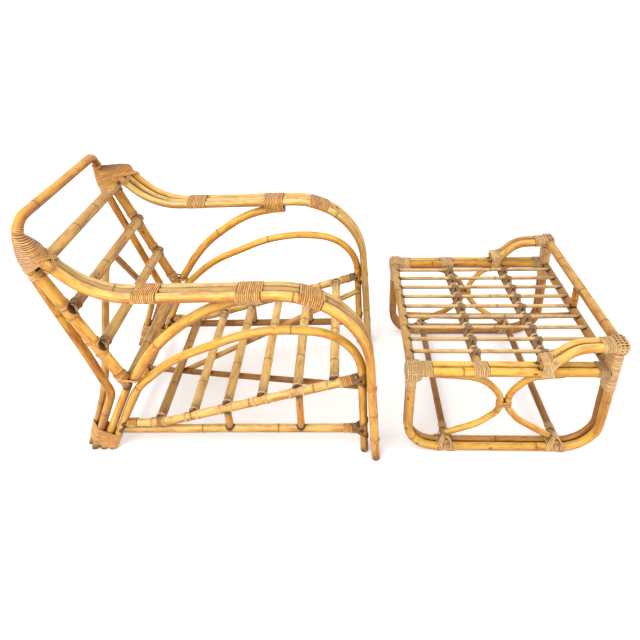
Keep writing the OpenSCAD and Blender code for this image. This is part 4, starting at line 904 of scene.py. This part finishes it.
def strand(part, points, out, side, width, thick, stain=0.0):
    """One flat strand with round edges along points, its face turned out."""
    rows, n = len(points), len(SECTION)
    width, thick = (np.broadcast_to(np.asarray(v, float), rows)[:, None] for v in (width, thick))
    verts = (points[:, None] + SECTION[None, :, :1] * (side * width)[:, None]
             + SECTION[None, :, 1:] * (out * thick)[:, None]).reshape(-1, 3)
    verts[:, 2] = np.maximum(verts[:, 2], CANE_LOW)
    k = np.arange(1, n - 1)
    caps = [np.stack([0 * k, k + 1, k], -1), np.stack([0 * k, k, k + 1], -1) + (rows - 1) * n]
    grain = np.zeros((rows, n, 3))
    grain[..., 0] = SECTION[None, :, 0] * width
    grain[..., 1] = SECTION[None, :, 1]
    grain[..., 2] = Line(points).s[:, None]
    seed = cane_rng.uniform(0, 4000, 3)
    part.add(verts, grid_faces(rows, n), np.concatenate(caps), grain=(grain + seed).reshape(-1, 3),
             stain=stain, ring=FAR, edge=np.tile(np.abs(2 * SECTION[:, 0]), rows),
             tint=cane_rng.uniform(0, 1))


def hull(points):
    """Convex hull of flat points, anticlockwise."""
    points = sorted(map(tuple, points))
    halves = []
    for run in (points, points[::-1]):
        half = []
        for p in run:
            while len(half) > 1 and ((half[-1][0] - half[-2][0]) * (p[1] - half[-2][1])
                                     - (half[-1][1] - half[-2][1]) * (p[0] - half[-2][0])) <= 0:
                half.pop()
            half.append(p)
        halves += half[:-1]
    return np.array(halves)


def ring_round(members, origin, normal, up=(0, 0, 1)):
    """Taut loop round poles in a plane: LOOP_POINTS points and their outward directions."""
    up = np.asarray(up, float)
    v = unit(up - normal * (up @ normal))
    u = np.cross(v, normal)
    angle = np.arange(32) / 32 * 2 * math.pi
    flat = []
    for key in members:
        pole = POLES[key]
        s = np.arange(0, pole.line.length + 3, 3.0)
        p = pole.line.at(s)
        side = (p - origin) @ normal
        reach = np.linalg.norm(p - origin, axis=1)
        found = np.nonzero((side[:-1] * side[1:] <= 0) & (reach[:-1] < SEARCH))[0]
        if not len(found):
            continue
        i = found[reach[found].argmin()]
        centre = p[i] + (p[i + 1] - p[i]) * (side[i] / (side[i] - side[i + 1] + 1e-9))
        # A pole that crosses the plane at a slant has an oval section
        d = pole.line.direction(s[i])
        circle = np.outer(np.cos(angle), u) + np.outer(np.sin(angle), v)
        slant = d - normal * (d @ normal)
        if np.linalg.norm(slant) > 0.03:
            w = unit(slant)
            circle += np.outer(circle @ w, w) * (1 / max(abs(d @ normal), 0.45) - 1)
        p = centre + circle * (pole.r + PAD) - origin
        flat.append(np.stack([p @ u, p @ v], -1))
    h = hull(np.concatenate(flat))
    h = np.roll(h, -int(h[:, 1].argmax()), axis=0)
    closed = Line(np.concatenate([h, h[:1]]))
    at = np.arange(LOOP_POINTS) / LOOP_POINTS * closed.length
    ring = np.stack([np.interp(at, closed.s, closed.p[:, k]) for k in (0, 1)], -1)
    t = units(np.roll(ring, -1, axis=0) - np.roll(ring, 1, axis=0))
    return origin + ring[:, :1] * u + ring[:, 1:] * v, t[:, 1:] * u - t[:, :1] * v


def shade_sleeve(part, loops, outs):
    """Painted shade under a winding: a thin dark closed sleeve that shows between its turns."""
    rows, n = loops.shape[:2]
    layers = np.concatenate([(loops + outs * 0.4).reshape(-1, 3), (loops - outs * 0.1).reshape(-1, 3)])
    layers[:, 2] = np.maximum(layers[:, 2], CANE_LOW)
    sleeve = grid_faces(rows, n)
    j = np.arange(n)
    k, last, inner = (j + 1) % n, (rows - 1) * n, rows * n
    rims = [np.stack([k, j, inner + j, inner + k], -1),
            np.stack([last + j, last + k, inner + last + k, inner + last + j], -1)]
    part.add(layers, np.concatenate([sleeve, sleeve[:, ::-1] + inner] + rims), [], grain=layers, ring=FAR,
             stain=1.0, edge=1.0)


def wind_rings(part, rings, turns, fill=0.86, stain=0.0):
    """One strand wound through loops, turn by turn. Fill is its width's share of a turn's pitch."""
    loops, outs = (np.array(v) for v in zip(*rings))
    # Painted shade under the turns: a dark sleeve
    shade_sleeve(part, loops, outs)
    turn = np.arange(0, turns * LOOP_POINTS + 1) / LOOP_POINTS
    f = np.clip(turn / turns, 0, 1) * (len(rings) - 1)
    k = np.minimum(f.astype(int), len(rings) - 2)
    f = (f - k)[:, None]
    j = np.round(turn * LOOP_POINTS).astype(int) % LOOP_POINTS
    points = loops[k, j] * (1 - f) + loops[k + 1, j] * f
    out = units(outs[k, j] * (1 - f) + outs[k + 1, j] * f)
    side = loops[k + 1, j] - loops[k, j]
    width = np.clip(np.linalg.norm(side, axis=1) * (len(rings) - 1) / turns, *TURN_WIDTHS) * fill
    side = square_to(side, out)
    ease = 0.35 + 0.65 * np.clip(np.minimum(turn, turns - turn) * 6, 0, 1)
    for first in range(turns):
        cut = slice(first * LOOP_POINTS, (first + 1) * LOOP_POINTS + 1)
        jitter = cane_rng.uniform(-0.12, 0.12)
        rise = CANE_T * (0.92 + 0.16 * cane_rng.random()) * ease[cut]
        strand(part, points[cut] + side[cut] * jitter, out[cut], side[cut],
               width[cut] * cane_rng.uniform(0.95, 1.0), rise, stain)


def wind(part, members, origins, normals, turns, up=(0, 0, 1), **more):
    """One strand wound round poles through planes spread along them."""
    rings = [ring_round(members, o, unit(n), up) for o, n in zip(origins, normals)]
    wind_rings(part, rings, turns, **more)


def wind_between(part, members, origin, a, b, turns, **more):
    """One strand wound round poles from a to b, both measured from an origin."""
    a, b = origin + np.array(a, float), origin + np.array(b, float)
    wind(part, members, [a, a + (b - a)], [unit(b - a)] * 2, turns, **more)


def on_line(key, low, high, count):
    """Planes square to a pole, between two lengths along it."""
    s = np.linspace(low, high, count)
    line = POLES[key].line
    return line.at(s), line.direction(s)


def planes(places, leans, count=10):
    """Planes through places, spread evenly, with the directions that they are square to."""
    at = np.linspace(0, 1, len(places))
    places, leans = np.array(places, float), np.array([unit(v) for v in leans])
    spread = [[np.array([np.interp(f, at, v[:, k]) for k in range(3)]) for f in np.linspace(0, 1, count)]
              for v in (places, leans)]
    return spread[0], [unit(v) for v in spread[1]]


def strap(part, members, origin, normal, count, width=4.2, thick=CANE_T, lift=0.0, stain=0.0):
    """Closed strands side by side round poles."""
    normal = unit(normal)
    for i in range(count):
        o = np.asarray(origin, float) + normal * (i - (count - 1) / 2) * width * 1.04
        p, n = (np.concatenate([v, v[:1]]) for v in ring_round(members, o, normal))
        strand(part, p + n * lift, n, np.broadcast_to(normal, p.shape),
               width * cane_rng.uniform(0.93, 1), thick, stain)


def cross_tie(part, members, origin, a, b, width, lift, stain):
    """Crossed straps over the place where poles along a and b meet."""
    a, b = unit(a), unit(b)
    for share, normal in ((0.25, a + b), (1.0, a - b)):
        strap(part, members, origin, unit(normal), 3, width, lift=lift * share, stain=stain)


def woven_cap(part, centre, half, lines=(7, 9, 7), stain=0.25):
    """Strands woven over a rounded block, in loops square to x, y and z."""
    half = np.asarray(half, float)
    theta = np.linspace(0, 2 * math.pi, 73)
    c, s = np.cos(theta), np.sin(theta)
    flat = 1 / (np.abs(c) ** 4 + np.abs(s) ** 4) ** 0.25
    for k, count in enumerate(lines):
        a, b = (k + 1) % 3, (k + 2) % 3
        for i in range(count):
            f = (i + 0.5) / count * 1.7 - 0.85
            shrink = (1 - abs(f) ** 4) ** 0.25
            p = np.zeros((len(theta), 3))
            p[:, k] = f * half[k]
            p[:, a], p[:, b] = c * flat * half[a] * shrink, s * flat * half[b] * shrink
            out = units(np.stack([np.sign(v) * np.abs(v / h) ** 3 / h for v, h in zip(p.T, half)], -1))
            lift = 0.7 * np.sin(theta * 9 + math.pi * i)
            side = square_to(np.tile(np.eye(3)[k], (len(theta), 1)), out)
            strand(part, centre + p + out * lift[:, None], out, side, 4.4, 1.4,
                   stain * cane_rng.uniform(0.2, 1.4))


# What each binding holds


def each_side(make):
    """Calls a function of a part with a side's name and sign, for both sides."""
    def both(part):
        for name, s in SIDES.items():
            make(part, name, s)
    return both


def chair_at(*p):
    return CHAIR + np.array(p, float)


def ottoman_at(*p):
    return OTTOMAN + np.array(p, float)


def arms_of(name):
    return [f"arm_{k}_{name}" for k in ("inner", "middle", "outer")]


def pair_of(kind, name):
    return [f"{kind}_outer_{name}", f"{kind}_inner_{name}"]


def rear_loop_x(z):
    return -REAR_LEAN * (z - FLOOR_Z) / (DECK_Z - FLOOR_Z)


@each_side
def arm_wraps(part, name, s):
    middle = "arm_middle_" + name
    for x, others in ((131, []), (431, ["upper_arch_" + name]), (610, [])):
        at = POLES[middle].line.nearest(chair_at(x, s * ARM_MIDDLE_Y, arm_z(x)))
        wind(part, arms_of(name) + others, *on_line(middle, at - 36, at + 36, 13), 12)


@each_side
def corner_wraps(part, name, s):
    up, down = np.array([-0.377, 0, 0.926]), np.array([-0.7, 0, -0.7])
    arms, post, hoop = arms_of(name), "post_" + name, "hoop"
    low, tips = chair_at(-156, s * 318, 783), chair_at(-172, s * 312, 806)
    rings = [ring_round(arms + [post, hoop], o, n, down)
             for o, n in zip(*planes([low, tips], [(-0.56, 0, 0.83), up], 4))]
    # A cone of turns from the arms' tips to the hoop, longer on the near side, as in the photo
    line = POLES[hoop].line
    top = line.nearest(chair_at(-209, s * 283, 862 if s < 0 else 842))
    narrow = ring_round([hoop], line.at(top), line.direction(top) * s * -1, down)
    for f in (0.2, 0.4, 0.6, 0.8, 1.0):
        share = np.array([f * f, f * f, f])
        rings.append(tuple(a * (1 - share) + b * share for a, b in zip(rings[3], narrow)))
    wind_rings(part, rings, 22, fill=0.9)
    wind(part, [hoop], *on_line(hoop, top - 8 * (1 + s), top + 8 * (1 - s), 3), 3)
    for k in (-1, 1):
        strap(part, arms, chair_at(-134, s * 322, 798), unit(up + [0.0, 0.45 * k, 0.0]), 3, lift=2.0)
        strap(part, [post, hoop], post_line(s, POST_LEN - 34) + CHAIR,
              unit(np.array([POST_DIR[0] + 0.35 * k, 0, POST_DIR[1]])), 3, lift=1.5)


@each_side
def foot_wraps(part, name, s):
    lean = np.array([math.sin(RAKE), 0, math.cos(RAKE)])
    foot = chair_at(REAR_FOOT_X, s * (FRAME_Y - 6), 0)
    wind(part, ["rear_leg_" + name, "lower_arch_" + name, "hoop", "rear_arch"],
         *planes([foot + lean * 26, foot + lean * 108], [lean, lean + [0.12, 0, 0.12]]), 15)


@each_side
def joint_wraps(part, name, s):
    a, b = post_line(s, 24) + CHAIR, post_line(s, 56) + CHAIR
    wind_between(part, ["post_" + name], 0, a, b, 7)
    for k in (-1, 1):
        strap(part, ["post_" + name, "upper_arch_" + name], post_line(s, 40) + CHAIR,
              unit(unit(b - a) + np.array([0.55 * k, 0, 0])), 2, lift=1.7)


@each_side
def rail_wraps(part, name, s):
    y, seat_rail = s * FRAME_Y, ["seat_rail_" + name]
    end = front_inner_x(300) - LEG_D

    def wind_rail(rail, z, x0, x1):
        wind_between(part, rail, CHAIR, (x0, y, z(x0)), (x1, y, z(x1)), 7)

    for rail, z, x0, x1 in ((seat_rail, seat_z, end - 40, end - 4),
                            (["floor_rail_" + name], floor_rail_at, end - 34, end - 2)):
        wind_rail(rail, z, x0, x1)
        cross_tie(part, rail + ["lower_arch_" + name], chair_at(x1 + 12, y, z(x1 + 12)), (1, 0, 0.2),
                  (0.08, 0, 1), 4.2, 1.2, 0.8)
    wind_rail(seat_rail, seat_z, RAIL_START_X + 6, RAIL_START_X + 40)
    strap(part, seat_rail, chair_at(FIRST_SLAT_X + 4, y, seat_z(FIRST_SLAT_X)), (1, 0, 0.1), 4, stain=0.5)


@each_side
def slat_wraps(part, name, s):
    for i, x in enumerate(SLAT_X):
        for at in (x - (SLAT_D / 2 + 5), x + (SLAT_D / 2 + 5)):
            strap(part, ["seat_rail_" + name], chair_at(at, s * FRAME_Y, seat_z(at)), ALONG_SEAT, 2)
        strap(part, [f"slat_{i}"], chair_at(x, s * (FRAME_Y - RAIL_D / 2 - 8), seat_z(x)), (0, 1, 0), 2)


@each_side
def back_wraps(part, name, s):
    for i, level in enumerate(("low", "middle")):
        t = LOW_BACK_POLE + i * BACK_POLE_STEP
        for at in (t - (BACK_POLE_D / 2 + 7), t + (BACK_POLE_D / 2 + 7)):
            strap(part, ["post_" + name], post_line(s, at) + CHAIR, (POST_DIR[0], 0, POST_DIR[1]), 3, 4.0,
                  thick=2.4)
        x, z = BACK_POLE_AT[i]
        strap(part, ["back_pole_" + level], CHAIR + (x, s * (FRAME_Y - POST_D / 2 - 9), z), (0, 1, 0), 2,
              4.0, stain=0.7)


@each_side
def leg_wraps(part, name, s):
    lean = unit((-LEG_RAKE, 0, ARM_H))
    for z in (FLOOR_RAIL_Z - 3, seat_z(ARM_FRONT_X) - 16):
        a = chair_at(FRONT_FOOT_X - LEG_RAKE * z / ARM_H, s * ARM_OUTER_Y, z) - lean * 8
        wind_between(part, ["arm_outer_" + name], 0, a, a + lean * 16, 4)


@each_side
def ottoman_corner_wraps(part, name, s):
    y, rails, legs = s * PAIR_Y, pair_of("side_rail", name), pair_of("loop", name)
    low, high, front = DECK_Z - 74, DECK_Z - 26, front_leg_x(DECK_Z)
    wind_between(part, rails, OTTOMAN, (24, y, DECK_Z), (58, y, DECK_Z), 7)
    wind_between(part, legs, OTTOMAN, (rear_loop_x(low), y, low), (rear_loop_x(high), y, high), 9,
                 up=(1, 0, 0))
    woven_cap(part, ottoman_at(-2, y, DECK_Z - 6), (27, 34.5, 26))
    wind_between(part, rails, OTTOMAN, (front - 50, y, DECK_Z), (front - 16, y, DECK_Z), 7, stain=0.45)
    high = RAISED_Z - 22
    wind_between(part, legs, OTTOMAN, (front_leg_x(low), y, low), (front_leg_x(high), y, high), 26,
                 up=(1, 0, 0))
    woven_cap(part, ottoman_at(RAISED_AT[0] + 1, y, RAISED_Z - 1), (21, 34.5, 19), (3, 5, 6), 0.1)


@each_side
def ottoman_arm_wraps(part, name, s):
    y, rails, arms = s * PAIR_Y, pair_of("side_rail", name), pair_of("raised_arm", name)
    x, z = RAISED_ARM_X, DECK_Z + 15
    wind_between(part, rails + arms, OTTOMAN, (x + 4, y, z), (x + 36, y, z), 7)
    for k in (-1, 1):
        strap(part, rails + arms, ottoman_at(x + 24, y, z), (1, 0, 0.42 * k), 5, 4.4, lift=1.6 + 0.7 * k)
    (xa, za), (xb, zb) = RAISED_ARM[2:]
    x = RAISED_AT[0] - CROSS_RAIL_D / 2 - 37
    ends = [(at, y, za + (zb - za) * (at - xa) / (xb - xa)) for at in (x, x + 40)]
    wind_between(part, arms, OTTOMAN, *ends, 8)


@each_side
def runner_wraps(part, name, s):
    y, legs = s * PAIR_Y, pair_of("loop", name)
    for i, x in enumerate(STRETCHER_X):
        rail = [f"floor_stretcher_{i}"]
        wind_between(part, legs, OTTOMAN, (x - 27, y, FLOOR_Z), (x + 27, y, FLOOR_Z), 10)
        for k in (-1, 1):
            strap(part, legs + rail, ottoman_at(x, y, FLOOR_Z + 14), (1, 0.75 * k, 0), 4, 4.4,
                  lift=1.7 + 0.5 * k)
        wind_between(part, rail, OTTOMAN, (x, s * (CLEAR_Y - 34), RUNNER_TOP_Z),
                     (x, s * (CLEAR_Y - 6), RUNNER_TOP_Z), 6, stain=0.3)


@each_side
def scroll_wraps(part, name, s):
    (x, z), y = SCROLL_TIE, s * PAIR_Y
    wind_between(part, ["scroll_rear_" + name, "scroll_front_" + name], OTTOMAN, (x, y, z - 8),
                 (x, y, z + 14), 5, up=(1, 0, 0))


def deck_wraps(part):
    for i, x in enumerate(DECK_POLE_X):
        pole = [f"deck_pole_{i}"]
        for j, y in enumerate(ROD_Y):
            cross_tie(part, pole + [f"rod_{j}"], ottoman_at(x, y, (ROD_Z + DECK_POLE_Z) / 2), (1, 0, 0),
                      (0, 1, 0), 4.4, 0.6, 0.75)
            if j < ROD_COUNT - 1:
                a = ottoman_at(x, y + 13, DECK_POLE_Z)
                b = ottoman_at(x, y + ROD_STEP - 13, DECK_POLE_Z)
                wind_between(part, pole, 0, a, b, 8, stain=1.0)
                strap(part, pole, (a + b) / 2, (0.5, 1, 0), 2, 4.0, lift=1.4, stain=0.5)
                strap(part, pole, (a + b) / 2, (-0.5, 1, 0), 2, 4.0, lift=1.9)


@each_side
def side_rail_wraps(part, name, s):
    x, y = DECK_POLE_X[0], s * PAIR_Y
    wind_between(part, pair_of("side_rail", name), OTTOMAN, (x - 24, y, DECK_Z), (x + 24, y, DECK_Z), 9)


WRAPS = {
    "corner_bindings": (corner_wraps, "golden"), "arm_bindings": (arm_wraps, "golden"),
    "foot_bindings": (foot_wraps, "golden"), "joint_bindings": (joint_wraps, "golden"),
    "rail_bindings": (rail_wraps, "golden"), "slat_straps": (slat_wraps, "light"),
    "back_pole_straps": (back_wraps, "golden"), "front_leg_straps": (leg_wraps, "golden"),
    "ottoman_corner_bindings": (ottoman_corner_wraps, "light"),
    "ottoman_arm_bindings": (ottoman_arm_wraps, "light"),
    "ottoman_runner_bindings": (runner_wraps, "light"), "ottoman_scroll_ties": (scroll_wraps, "golden"),
    "ottoman_deck_lashings": (deck_wraps, "light"), "ottoman_rail_bindings": (side_rail_wraps, "light"),
}

# The whole set

make_back()
make_sides()
make_seat()
make_ottoman_sides()
make_ottoman_deck()

SLOTS = {row["node"]: row["material_slot"] for row in frame["record"]["subparts"]}
BODY_OF = {node: "ottoman" if node.startswith("ottoman") else "chair" for node in SLOTS}
materials = {tone: rattan(tone) for tone in TONES}
canes = {tone: cane_material(tone) for tone in CANES}
grime = make_contact_shade()

poles_of = {}
for pole in POLES.values():
    poles_of.setdefault(pole.node, []).append(pole)
for node, poles in poles_of.items():
    part = Part()
    for pole in poles:
        pole.mesh(part, grime)
    part.build("rattan_" + node, materials[poles[0].tone], BODY_OF[node], SLOTS[node], node)
for node, (make, tone) in WRAPS.items():
    part = Part()
    make(part)
    part.build("cane_" + node, canes[tone], BODY_OF[node], SLOTS[node], node)

# Camera, lights and floor

# The photo's camera, fitted to the poles that run parallel: turns in radians, place in metres
YAW, PITCH, ROLL = -0.0559, 0.63172, -0.03383
CAMERA_AT, SENSOR, LENS = (0.0318, -1.5736, 1.4863), 36, 28.853
# Half the side of the floor, and how much it glows, so that it comes out white as in the photo
FLOOR_REACH, FLOOR_GLOW = 60, 0.2


def place_camera():
    forward = np.array([math.sin(YAW) * math.cos(PITCH), math.cos(YAW) * math.cos(PITCH),
                        -math.sin(PITCH)])
    level = np.array([math.cos(YAW), -math.sin(YAW), 0])
    upward = np.cross(level, forward)
    right = math.cos(ROLL) * level + math.sin(ROLL) * upward
    up = math.cos(ROLL) * upward - math.sin(ROLL) * level
    data = bpy.data.cameras.new("camera")
    data.sensor_width, data.lens = SENSOR, LENS
    camera = bpy.data.objects.new("camera", data)
    m = Matrix([list(row) + [0] for row in np.stack([right, up, -forward], 1)] + [[0, 0, 0, 1]])
    m.translation = Vector(CAMERA_AT)
    camera.matrix_world = m
    bpy.context.scene.collection.objects.link(camera)
    bpy.context.scene.camera = camera


def area_light(name, place, target, size, power, colour=(1, 1, 1)):
    data = bpy.data.lights.new(name, "AREA")
    data.shape, data.size, data.energy, data.color = "DISK", size, power, colour
    light = bpy.data.objects.new(name, data)
    light.location = place
    light.rotation_euler = (Vector(target) - Vector(place)).to_track_quat("-Z", "Y").to_euler()
    bpy.context.scene.collection.objects.link(light)


def make_room():
    world = bpy.data.worlds.new("studio")
    world.use_nodes = True
    background = world.node_tree.nodes["Background"]
    background.inputs["Color"].default_value = (1, 1, 1, 1)
    background.inputs["Strength"].default_value = 1.0
    bpy.context.scene.world = world
    area_light("key", (-1.6, -1.9, 3.0), (0, 0, 0.3), 2.8, 80, (1.0, 0.97, 0.92))
    area_light("fill", (2.6, -1.2, 2.0), (0.2, 0, 0.3), 2.0, 15)
    mesh, r = bpy.data.meshes.new("floor"), FLOOR_REACH
    mesh.from_pydata([(-r, -r, 0), (r, -r, 0), (r, r, 0), (-r, r, 0)], [], [(0, 1, 2, 3)])
    t = Tree("floor")
    place = t.node("ShaderNodeTexCoord").outputs["Object"]
    soft = t.noise(place, (1.2, 1.2, 1.2), 2.0)
    colour = t.mix(soft, srgb("FDFDFC"), srgb("FAF9F8"))
    mesh.materials.append(t.finish(colour, 0.9, soft, 0.0001,
                                   **{"Emission Color": (1, 1, 1, 1), "Emission Strength": FLOOR_GLOW}))
    floor = bpy.data.objects.new("floor", mesh)
    bpy.context.scene.collection.objects.link(floor)
    bpy.context.scene.view_settings.view_transform = "Standard"


place_camera()
make_room()
